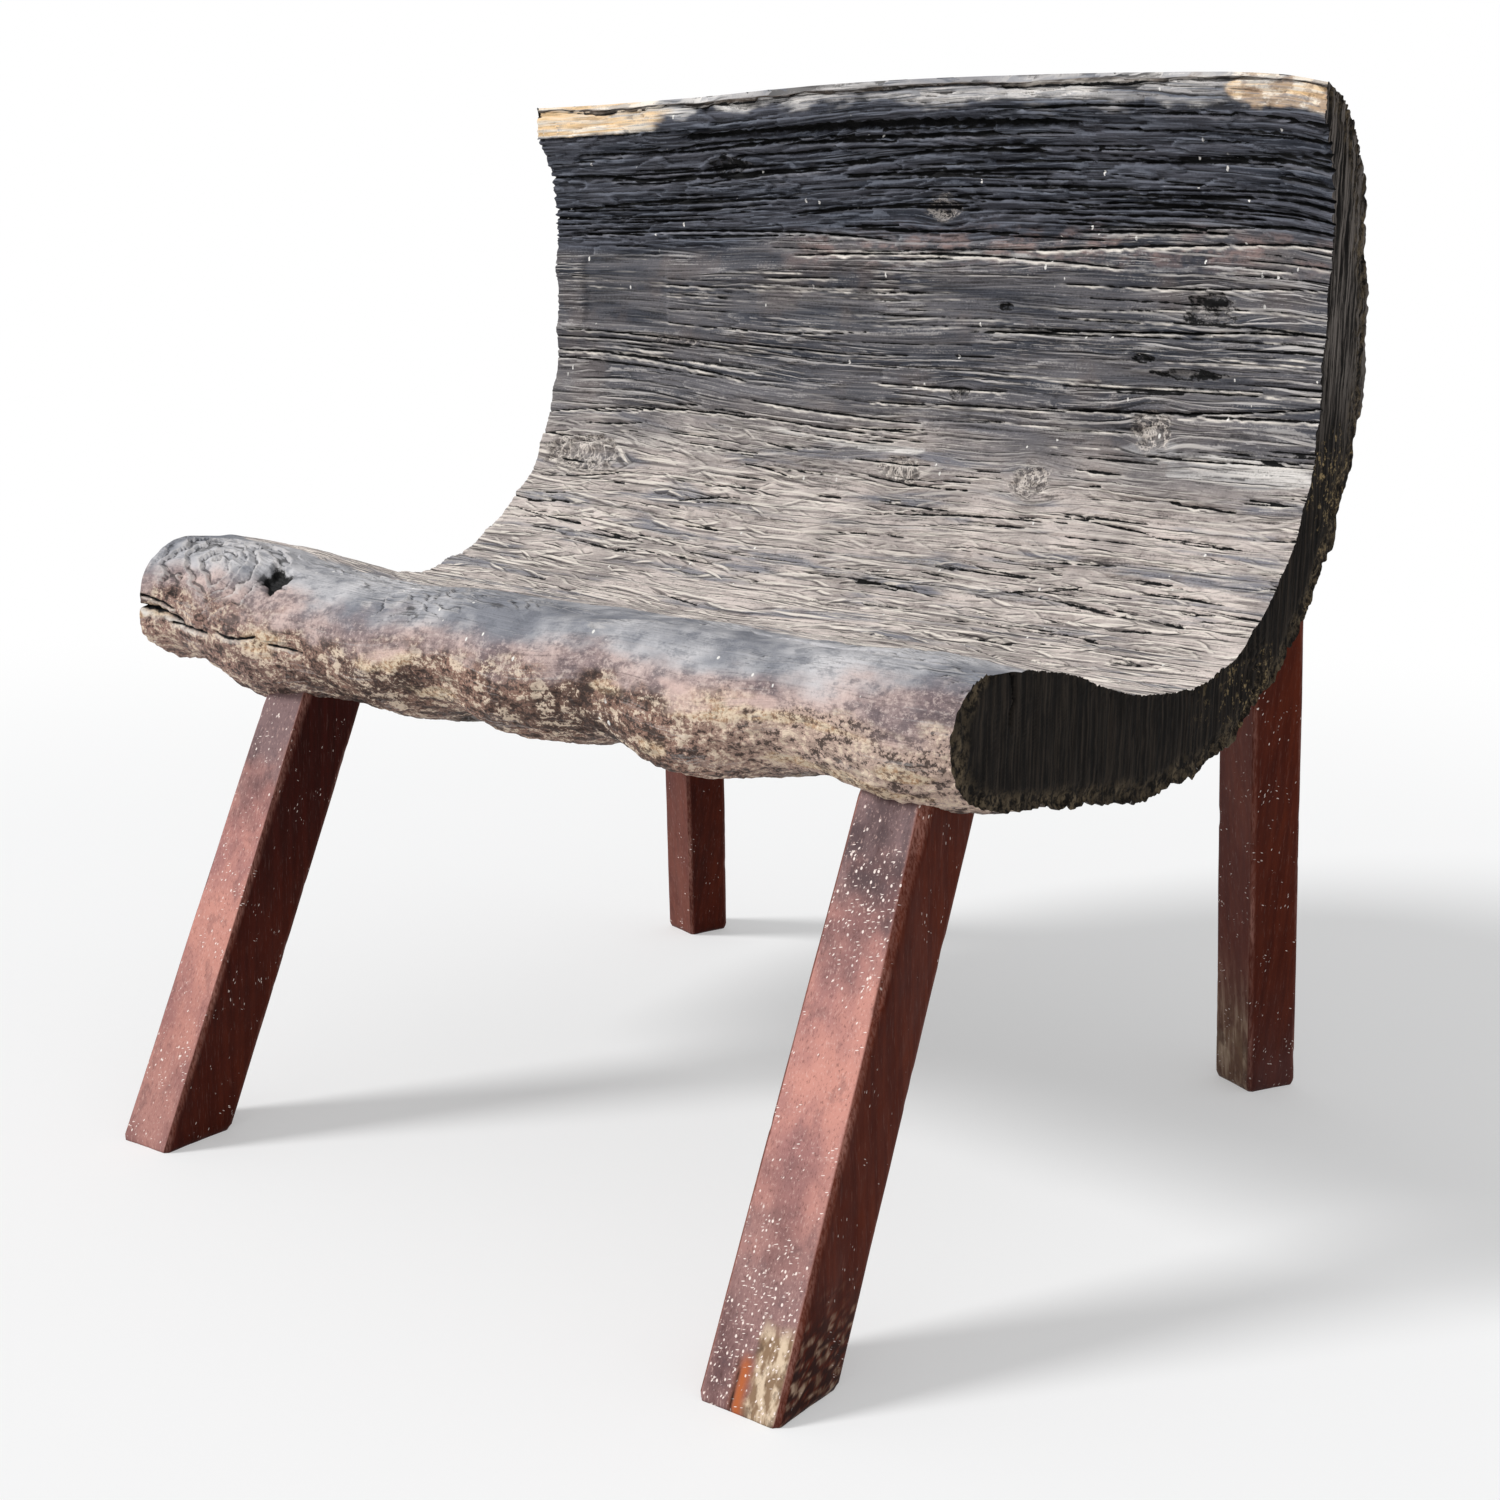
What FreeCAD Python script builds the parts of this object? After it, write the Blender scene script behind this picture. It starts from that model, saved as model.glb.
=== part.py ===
import FreeCAD, Part
import os
from math import acos, asin, atan, atan2, cos, hypot, pi, radians, sin, tan

# A low birthing chair. Seat and back are one piece, hewn from a hollow trunk that lies along X,
# and four square legs are let into its underside with round tenons.
# Lengths are millimetres and angles degrees. +Z is up and the sitter faces -Y.

# The log in cross-section
log_length = 700.0
trunk_radius = 265.0
hollow_radius = 168.0
seat_height = 340.0
seat_thickness = 65.0
back_thickness = 71.0
back_height = 376.0
seat_depth = 395.0
lip_rise = 44.0
lip_radius = 40.0

# The top of the back: an upright band that overhangs the hollow, then a crown that falls to the rear
band_height = 26.0
band_overhang = 22.0
curl_height = 58.0
crown_drop = 50.0
crown_bulge = 12.0

# Wear that rounds the top of the band, most in the middle of the log
top_wear = 9.0
wear_ease_share = 0.6
brow_share = 0.25

# Shallow scoops of the adze in bands down the back, ridges of bark round the trunk, and waves in the lip
scoop_count = 8
scoop_depth = 3.0
ridge_count = 10
bark_depth = 6.0
lip_wave = 3.0
lip_wave_count = 5

# How far scoops and grooves deepen and fade, how fast along the log, and how it shifts from band to band
swing_share = 0.4
swing_turn_share = 2.3
swing_shift_share = 0.7

# How the hewn section wanders from the left end of the log to the right. Each row is one station:
# place along half the length, then changes of lip height, lip reach, lip size, top height,
# belly depth, hollow size and seat height. The log is lofted through log_cuts + 1 sections.
log_cuts = 20
wander_shares = (
    (-1.00, 0.20, -0.08, 0.12, 0.00, 0.10, 0.07, 0.10),
    (-0.78, 0.12, -0.08, 0.16, 0.06, 0.04, 0.06, 0.10),
    (-0.50, -0.12, 0.06, 0.12, 0.18, -0.02, 0.04, 0.05),
    (-0.10, -0.05, 0.26, 0.03, 0.44, 0.02, 0.00, 0.00),
    (0.30, -0.02, 0.24, 0.00, 0.48, 0.00, 0.00, 0.00),
    (0.70, -0.04, 0.14, -0.04, 0.36, 0.00, 0.00, 0.00),
    (0.90, -0.02, 0.00, -0.04, 0.20, 0.00, 0.00, 0.00),
    (1.00, -0.08, -0.06, -0.05, -0.04, 0.00, 0.00, 0.00),
)

# The front legs, raked with their feet forward
front_left_width = 46.0
front_left_depth = 54.0
front_left_inset = 137.0
front_left_rake_angle = 23.8
front_left_splay_angle = 1.2
front_left_twist_angle = 3.5
front_left_chamfer = 5.0
front_right_width = 55.0
front_right_depth = 53.0
front_right_inset = 50.0
front_right_rake_angle = 26.1
front_right_splay_angle = 2.9
front_right_twist_angle = 2.2
front_right_chamfer = 9.0
front_leg_setback = 15.0
front_top_share = 0.88
front_tenon_length = 40.0

# The rear legs, raked slightly back and set on the round of the trunk
rear_left_width = 38.0
rear_left_depth = 40.0
rear_left_inset = 136.0
rear_left_rake_angle = 10.4
rear_left_splay_angle = 6.6
rear_left_twist_angle = -15.0
rear_left_chamfer = 3.0
rear_right_width = 42.0
rear_right_depth = 43.0
rear_right_inset = 41.0
rear_right_rake_angle = 8.0
rear_right_splay_angle = -0.8
rear_right_twist_angle = -25.0
rear_right_chamfer = 5.0
rear_leg_angle = 37.0
rear_top_share = 1.0
rear_tenon_length = 34.0

# What all four legs share
chamfer_start_share = 0.6
arris_width = 2.5
housing_depth = 12.0
tenon_radius = 13.0
tenon_chamfer = 2.0
mortise_end_gap = 2.0
fit_clearance = 0.3


def arc(start, middle, end):
    return Part.Arc(start, middle, end).toShape()


def line(start, end):
    return Part.LineSegment(start, end).toShape()


def section_values(wander):
    """Sizes of the hewn section at one station along the log."""
    place, lip_rise_share, reach_share, lip_share, top_share, belly_share, hollow_share, low_share = wander
    low_z = seat_height + lip_rise * low_share
    return {
        "place": place,
        "x": 0.5 * log_length * place,
        "hollow": hollow_radius * (1 + hollow_share),
        "low_z": low_z,
        "crest_y": -seat_depth - lip_radius * reach_share,
        "crest_z": seat_height + lip_rise * (1 + lip_rise_share),
        "lip": lip_radius * (1 + lip_share) + lip_wave * sin(pi * lip_wave_count * place),
        "top_z": seat_height + back_height + band_height * top_share,
        "trunk_y": back_thickness - trunk_radius,
        "trunk_z": seat_height - seat_thickness * (1 + belly_share) + trunk_radius,
    }


def underside_normal(values):
    """Angle of the outward normal of the flat hewn underside, which touches both lip and trunk."""
    rise = values["trunk_z"] - values["crest_z"] + values["lip"]
    run = values["trunk_y"] - values["crest_y"]
    return atan2(rise, run) - acos((values["lip"] - trunk_radius) / hypot(run, rise))


def round_point(x, centre_y, centre_z, radius, angle):
    return FreeCAD.Vector(x, centre_y + radius * cos(angle), centre_z + radius * sin(angle))


def swung(depth, values, band):
    """A depth that comes and goes along the log, differently in each band."""
    turns = swing_turn_share * values["place"] + swing_shift_share * band
    return depth * (1 + swing_share * sin(pi * turns))


def worn_top(values):
    """Worn distance at the top of the band, and its sharp corner before it wore."""
    wear = top_wear * (1 - wear_ease_share * values["place"] ** 2)
    return wear, FreeCAD.Vector(values["x"], -band_overhang, values["top_z"])


def hewn_point(values, share, sunk):
    """Point part of the way down the straight face and the hollow, sunk into the wood."""
    hollow = values["hollow"]
    face_top = values["top_z"] - band_height - curl_height
    face_foot = values["low_z"] + hollow
    run = share * (face_top - face_foot + 0.5 * pi * hollow)
    past = run - (face_top - face_foot)
    if past < 0:
        return FreeCAD.Vector(values["x"], sunk, face_top - run)
    return round_point(values["x"], -hollow, face_foot, hollow + sunk, -past / hollow)


def scoop_edges(values):
    """Hewn bands from the foot of the curl to the seat: arcs sunk between edges left standing."""
    edges = []
    for band in range(scoop_count):
        sunk = swung(scoop_depth, values, band)
        start = hewn_point(values, band / scoop_count, 0)
        middle = hewn_point(values, (band + 0.5) / scoop_count, sunk)
        end = hewn_point(values, (band + 1) / scoop_count, 0)
        edges.append(arc(start, middle, end))
    return edges


def back_edges(values):
    """Front of the back: the upright band, the curl below it, and the hewn bands of the hollow."""
    x = values["x"]
    band_foot = values["top_z"] - band_height
    curl_foot = band_foot - curl_height
    curl_radius = (curl_height ** 2 + band_overhang ** 2) / (2 * band_overhang)
    curl_turn = 2 * atan(band_overhang / curl_height)
    wear, top = worn_top(values)
    band_end = FreeCAD.Vector(x, -band_overhang, band_foot)
    face_top = FreeCAD.Vector(x, 0, curl_foot)
    curl_middle = round_point(x, -curl_radius, curl_foot, curl_radius, 0.5 * curl_turn)
    front = [
        line(top - FreeCAD.Vector(0, 0, wear), band_end),
        arc(band_end, curl_middle, face_top),
    ]
    return front + scoop_edges(values)


def seat_edges(values):
    """Seat from its lowest line to the crest of the lip: two equal arcs that meet half way."""
    x = values["x"]
    run = -values["hollow"] - values["crest_y"]
    rise = values["crest_z"] - values["low_z"]
    radius = (run ** 2 + rise ** 2) / (4 * rise)
    half_turn = atan(rise / run)
    low = FreeCAD.Vector(x, -values["hollow"], values["low_z"])
    crest = FreeCAD.Vector(x, values["crest_y"], values["crest_z"])
    dish = round_point(x, low.y, low.z + radius, radius, -0.5 * pi - half_turn)
    shoulder = round_point(x, crest.y, crest.z - radius, radius, 0.5 * pi - half_turn)
    meeting = 0.5 * (low + crest)
    return [arc(low, dish, meeting), arc(meeting, shoulder, crest)]


def bark_edges(values, under, rear_angle):
    """Ridges of bark round the trunk, each with two flat flanks that fall to the grooves beside it."""
    depths = [swung(bark_depth, values, groove) for groove in range(ridge_count + 1)]
    depths[0] = depths[-1] = 0
    turn = (rear_angle - under) / ridge_count
    points = []
    for groove, depth in enumerate(depths):
        for place, sunk in ((groove, depth), (groove + 0.5, 0)):
            centre = values["trunk_y"], values["trunk_z"]
            points.append(round_point(values["x"], *centre, trunk_radius - sunk, under + place * turn))
    points.pop()
    return [line(start, end) for start, end in zip(points, points[1:])]


def outer_edges(values):
    """Round of the lip, hewn underside, bark of the trunk, crown of the back and its worn brow."""
    x = values["x"]
    lip = values["lip"]
    lip_y, lip_z = values["crest_y"], values["crest_z"] - values["lip"]
    trunk_y, trunk_z = values["trunk_y"], values["trunk_z"]
    under = underside_normal(values)
    lip_top = FreeCAD.Vector(x, lip_y, values["crest_z"])
    lip_middle = round_point(x, lip_y, lip_z, lip, 0.5 * (under - 1.5 * pi))
    lip_end = round_point(x, lip_y, lip_z, lip, under)
    belly_start = round_point(x, trunk_y, trunk_z, trunk_radius, under)
    rear_angle = asin((values["top_z"] - crown_drop - trunk_z) / trunk_radius)
    rear_arris = round_point(x, trunk_y, trunk_z, trunk_radius, rear_angle)
    wear, top = worn_top(values)
    slope = (top - rear_arris).normalize()
    bulge = 0.5 * (top + rear_arris) + FreeCAD.Vector(0, slope.z, -slope.y) * crown_bulge
    crown = arc(rear_arris, bulge, top)
    last = crown.LastParameter - wear / crown.Curve.Radius
    crown_middle, crown_end = crown.valueAt(0.5 * (crown.FirstParameter + last)), crown.valueAt(last)
    band_top = top - FreeCAD.Vector(0, 0, wear)
    brow = 0.5 * (crown_end + band_top) * (1 - brow_share) + top * brow_share
    lip_and_belly = [arc(lip_top, lip_middle, lip_end), line(lip_end, belly_start)]
    crown_and_brow = [arc(rear_arris, crown_middle, crown_end), arc(crown_end, brow, band_top)]
    return lip_and_belly + bark_edges(values, under, rear_angle) + crown_and_brow


def hewn_section(wander):
    values = section_values(wander)
    return Part.Wire(back_edges(values) + seat_edges(values) + outer_edges(values))


def slope_at(row, column):
    """Slope of one wandering value at a station: its change between the stations on each side."""
    before = wander_shares[max(row - 1, 0)]
    after = wander_shares[min(row + 1, len(wander_shares) - 1)]
    return (after[column] - before[column]) / (after[0] - before[0])


def wander_at(place):
    """Wandering values anywhere along the log, on a cubic through the stations."""
    row = max(index for index, station in enumerate(wander_shares[:-1]) if station[0] <= place)
    start, end = wander_shares[row], wander_shares[row + 1]
    run = end[0] - start[0]
    part = (place - start[0]) / run
    ease = part ** 2 * (3 - 2 * part)
    leave = part * (1 - part) ** 2
    arrive = part ** 2 * (part - 1)
    values = [place]
    for column in range(1, len(start)):
        straight = start[column] + ease * (end[column] - start[column])
        values.append(straight + run * (leave * slope_at(row, column) + arrive * slope_at(row + 1, column)))
    return values


def hewn_log():
    """The log before its joints are cut: lofted from section to section, as it was hewn in flats."""
    places = [-1 + 2 * cut / log_cuts for cut in range(log_cuts + 1)]
    return Part.makeLoft([hewn_section(wander_at(place)) for place in places], True, True)


def slab(point, normal, size):
    """Solid that fills one side of a plane, for sawing a leg to length."""
    blank = Part.makeBox(size, size, size, FreeCAD.Vector(-0.5 * size, -0.5 * size, 0))
    blank.Placement = FreeCAD.Placement(point, FreeCAD.Rotation(FreeCAD.Vector(0, 0, 1), normal))
    return blank


def leg_section(height, width, depth, corners):
    """Rectangle with its four corners cut, as (right front, right rear, left rear, left front)."""
    half_x, half_y = 0.5 * width, 0.5 * depth
    right_front, right_rear, left_rear, left_front = corners
    outline = [
        (half_x - right_front, -half_y),
        (half_x, -half_y + right_front),
        (half_x, half_y - right_rear),
        (half_x - right_rear, half_y),
        (-half_x + left_rear, half_y),
        (-half_x, half_y - left_rear),
        (-half_x, -half_y + left_front),
        (-half_x + left_front, -half_y),
    ]
    return [FreeCAD.Vector(x, y, height) for x, y in outline]


def flat_sided(rings):
    """Solid with one flat face between each pair of neighbouring corners of its rings."""
    count = len(rings[0])
    outlines = [rings[0][::-1], rings[-1]]
    for lower, upper in zip(rings, rings[1:]):
        for corner in range(count):
            after = (corner + 1) % count
            outlines.append([lower[corner], lower[after], upper[after], upper[corner]])
    faces = [Part.Face(Part.makePolygon(outline + outline[:1])) for outline in outlines]
    return Part.makeSolid(Part.makeShell(faces))


def section_at(spec, values):
    """Where a leg meets the log and the outward normal there, on the section without wander."""
    point, normal = spec["place"](values)
    point.x = spec["side"] * (0.5 * log_length - spec["inset"])
    return point, normal


def on_underside(values):
    """A front leg's place: on the flat underside, behind the round of the lip."""
    angle = underside_normal(values)
    start = round_point(0, values["crest_y"], values["crest_z"] - values["lip"], values["lip"], angle)
    point = start + FreeCAD.Vector(0, -sin(angle), cos(angle)) * front_leg_setback
    return point, FreeCAD.Vector(0, cos(angle), sin(angle))


def on_trunk(values):
    """A rear leg's place: on the round of the trunk, below and behind its middle."""
    angle = -radians(rear_leg_angle)
    point = round_point(0, values["trunk_y"], values["trunk_z"], trunk_radius, angle)
    return point, FreeCAD.Vector(0, cos(angle), sin(angle))


def leg_axis(side, rake, splay):
    """Upward direction of a leg. Rake carries the foot forward, and splay carries it outward."""
    return FreeCAD.Vector(-side * tan(radians(splay)), tan(radians(rake)), 1).normalize()


def leg_shaft(spec, grown):
    """Tapered square shaft with one chamfer that widens to the top, larger by grown all round."""
    seat, axis = spec["seat"], spec["axis"]
    length = seat.z / axis.z
    overrun = spec["width"] + spec["depth"]
    stations = (
        (-overrun, arris_width),
        (chamfer_start_share * length, arris_width),
        (length + overrun, spec["chamfer"]),
    )
    rings = []
    for height, chamfer in stations:
        width = spec["width"] * (1 - (1 - spec["top_share"]) * height / length) + 2 * grown
        corners = [arris_width] * 4
        corners[spec["chamfered_corner"]] = chamfer
        rings.append(leg_section(height, width, spec["depth"] + 2 * grown, corners))
    shaft = flat_sided(rings)
    turn = FreeCAD.Rotation(FreeCAD.Vector(0, 0, 1), axis)
    twist = FreeCAD.Rotation(FreeCAD.Vector(0, 0, 1), spec["twist"])
    shaft.Placement = FreeCAD.Placement(seat - axis * length, turn * twist)
    shoulder = seat - spec["normal"] * housing_depth
    return shaft.cut(slab(shoulder, -spec["normal"], 4 * length))


def tenon_base(spec):
    """Where the leg's axis meets the plane of its shoulder."""
    return spec["seat"] - spec["axis"] * (housing_depth / spec["axis"].dot(spec["normal"]))


def make_tenon(spec):
    """Round tenon with a chamfered end, rooted well inside the shaft."""
    base, axis = tenon_base(spec), spec["axis"]
    root = 2 * tenon_radius
    straight = spec["tenon_length"] - tenon_chamfer
    post = Part.makeCylinder(tenon_radius, root + straight, base - axis * root, axis)
    end = base + axis * straight
    tip = Part.makeCone(tenon_radius, tenon_radius - tenon_chamfer, tenon_chamfer, end, axis)
    return post.fuse(tip)


def make_mortise(spec):
    """Bored hole for the tenon, a little wider and deeper."""
    base, axis = tenon_base(spec), spec["axis"]
    root = 2 * tenon_radius
    depth = spec["tenon_length"] + mortise_end_gap
    return Part.makeCylinder(tenon_radius + fit_clearance, root + depth, base - axis * root, axis)


def make_leg(spec):
    shaft = leg_shaft(spec, 0)
    floor = slab(FreeCAD.Vector(0, 0, 0), FreeCAD.Vector(0, 0, -1), 4 * log_length)
    return shaft.cut(floor).fuse(make_tenon(spec)).removeSplitter()


def front_leg(side, inset, rake, splay, twist, width, depth, chamfer):
    """Values of a front leg, whose chamfer is on its right front corner."""
    return {
        "side": side, "inset": inset, "axis": leg_axis(side, rake, splay), "twist": twist,
        "width": width, "depth": depth, "chamfer": chamfer, "chamfered_corner": 0,
        "place": on_underside, "top_share": front_top_share, "tenon_length": front_tenon_length,
    }


def rear_leg(side, inset, rake, splay, twist, width, depth, chamfer):
    """Values of a rear leg, whose chamfer is on its left front corner."""
    return {
        "side": side, "inset": inset, "axis": leg_axis(side, -rake, splay), "twist": twist,
        "width": width, "depth": depth, "chamfer": chamfer, "chamfered_corner": 3,
        "place": on_trunk, "top_share": rear_top_share, "tenon_length": rear_tenon_length,
    }


left, right = -1, 1
leg_specs = {
    "front_left_leg": front_leg(
        left, front_left_inset, front_left_rake_angle, front_left_splay_angle, front_left_twist_angle,
        front_left_width, front_left_depth, front_left_chamfer),
    "front_right_leg": front_leg(
        right, front_right_inset, front_right_rake_angle, front_right_splay_angle, front_right_twist_angle,
        front_right_width, front_right_depth, front_right_chamfer),
    "rear_left_leg": rear_leg(
        left, rear_left_inset, rear_left_rake_angle, rear_left_splay_angle, rear_left_twist_angle,
        rear_left_width, rear_left_depth, rear_left_chamfer),
    "rear_right_leg": rear_leg(
        right, rear_right_inset, rear_right_rake_angle, rear_right_splay_angle, rear_right_twist_angle,
        rear_right_width, rear_right_depth, rear_right_chamfer),
}
plain_section = section_values([0] * len(wander_shares[0]))
for spec in leg_specs.values():
    spec["seat"], spec["normal"] = section_at(spec, plain_section)


def make_seat_log():
    """The hewn log with a flat-bottomed housing and a round mortise for each leg."""
    log = hewn_log()
    for spec in leg_specs.values():
        log = log.cut(leg_shaft(spec, fit_clearance))
        log = log.cut(make_mortise(spec))
    return log.removeSplitter()


parts = {"seat_log": make_seat_log()}
for name, spec in leg_specs.items():
    parts[name] = make_leg(spec)

# The origin is on the floor, in the middle of the box round the whole chair
box = Part.makeCompound(list(parts.values())).optimalBoundingBox()
middle = FreeCAD.Vector(box.Center.x, box.Center.y, box.ZMin)
os.makedirs("parts", exist_ok=True)
for name, shape in parts.items():
    shape.translate(-middle)
    shape.exportStep("parts/" + name + ".step")
    print(name, "volume", round(shape.Volume), "solids", len(shape.Solids), "valid", shape.isValid())

print("chair", round(box.XLength, 1), round(box.YLength, 1), round(box.ZLength, 1))
for name, spec in leg_specs.items():
    foot = spec["seat"] - spec["axis"] * (spec["seat"].z / spec["axis"].z) - middle
    print(name, "foot centre", round(foot.x, 2), round(foot.y, 2))
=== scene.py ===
import bpy
import math
from types import SimpleNamespace
import numpy as np
from mathutils import Matrix, Vector


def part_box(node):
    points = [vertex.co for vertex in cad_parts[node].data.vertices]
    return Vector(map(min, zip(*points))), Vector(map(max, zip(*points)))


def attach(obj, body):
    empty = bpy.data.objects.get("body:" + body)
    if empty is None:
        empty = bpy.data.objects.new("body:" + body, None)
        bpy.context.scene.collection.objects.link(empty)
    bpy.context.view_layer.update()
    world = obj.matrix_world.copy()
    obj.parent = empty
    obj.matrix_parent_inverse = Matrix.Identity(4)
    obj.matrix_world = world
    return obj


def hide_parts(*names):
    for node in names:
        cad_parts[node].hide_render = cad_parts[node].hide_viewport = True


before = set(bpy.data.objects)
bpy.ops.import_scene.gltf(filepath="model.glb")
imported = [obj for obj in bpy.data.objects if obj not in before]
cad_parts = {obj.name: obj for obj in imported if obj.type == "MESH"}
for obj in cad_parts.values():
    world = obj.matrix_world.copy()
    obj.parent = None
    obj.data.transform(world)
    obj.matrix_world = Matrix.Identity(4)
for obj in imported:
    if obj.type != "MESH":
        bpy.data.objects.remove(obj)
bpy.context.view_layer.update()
print("frame loaded")


# Small helpers

def tint(red, green, blue):
    # a screen colour, 0 to 255, as the linear colour that shaders use
    screen = np.array([red, green, blue]) / 255
    linear = np.where(screen <= 0.04045, screen / 12.92, ((screen + 0.055) / 1.055) ** 2.4)
    return (*linear, 1.0)


def smooth(value, low, high):
    # 0 below low, 1 above high, t*t*(3 - 2t) between
    t = np.clip((value - low) / (high - low), 0, 1)
    return t * t * (3 - 2 * t)


def bell(distance, width):
    # exp(-(d/w)^2)
    return np.exp(-(distance / width) ** 2)


def softNoise(u, v, seed):
    # gradient noise, about -1 to 1: each lattice corner gives (gradient . offset), eased between corners
    angles = np.random.default_rng(seed).uniform(0, 2 * np.pi, (256, 256))
    u, v = np.broadcast_arrays(u, v)
    iu, iv = np.floor(u).astype(int), np.floor(v).astype(int)
    fu, fv = u - iu, v - iv
    total = 0
    for du in (0, 1):
        for dv in (0, 1):
            angle = angles[(iu + du) % 256, (iv + dv) % 256]
            dot = np.cos(angle) * (fu - du) + np.sin(angle) * (fv - dv)
            wu, wv = 1 - abs(fu - du), 1 - abs(fv - dv)
            total = total + dot * wu * wu * (3 - 2 * wu) * wv * wv * (3 - 2 * wv)
    return 1.5 * total


def layers(u, v, seed, count):
    # fractal noise: each layer has twice the frequency and half the height of the one before
    return sum(softNoise(u * 2 ** k, v * 2 ** k, seed + k) / 2 ** k for k in range(count))


def cells(u, v, seed):
    # nearest and second nearest scattered seed: returns each cell's own number and the distance to its edge
    table = np.random.default_rng(seed).uniform(0, 1, (64, 64, 3))
    u, v = np.broadcast_arrays(u, v)
    iu, iv = np.floor(u).astype(int), np.floor(v).astype(int)
    first, second = np.full(u.shape, 9.0), np.full(u.shape, 9.0)
    own = np.zeros(u.shape)
    for du in (-1, 0, 1):
        for dv in (-1, 0, 1):
            spot = table[(iu + du) % 64, (iv + dv) % 64]
            gap = np.hypot(iu + du + spot[..., 0] - u, iv + dv + spot[..., 1] - v)
            nearer = gap < first
            second = np.where(nearer, first, np.minimum(second, gap))
            own = np.where(nearer, spot[..., 2], own)
            first = np.where(nearer, gap, first)
    return own, second - first


def gridNormals(points):
    # cross product of the two grid directions, for rows that close into a ring
    down = np.roll(points, -1, 0) - np.roll(points, 1, 0)
    normals = np.cross(down, np.gradient(points, axis=1))
    return normals / np.maximum(np.linalg.norm(normals, axis=2, keepdims=True), 1e-12)


def meshPiece(name, points, faces, normals, values, node, material):
    # a mesh from arrays; values are numbers for each point
    mesh = bpy.data.meshes.new(name)
    mesh.from_pydata(points.reshape(-1, 3), [], faces)
    for key, data in values.items():
        layer = mesh.attributes.new(key, "FLOAT", "POINT")
        layer.data.foreach_set("value", data.astype(np.float32).ravel())
    mesh.shade_smooth()
    if normals is not None:
        mesh.normals_split_custom_set_from_vertices(normals.reshape(-1, 3).tolist())
    mesh.materials.append(material)
    piece = bpy.data.objects.new(name, mesh)
    bpy.context.scene.collection.objects.link(piece)
    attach(piece, "root")
    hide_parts(node)


def gridFaces(corner):
    # quads of a grid of point numbers, wound so that rows x columns points outward
    quads = np.stack([corner[:-1, :-1], corner[1:, :-1], corner[1:, 1:], corner[:-1, 1:]], -1)
    return quads.reshape(-1, 4)


# Shader helpers

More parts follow.
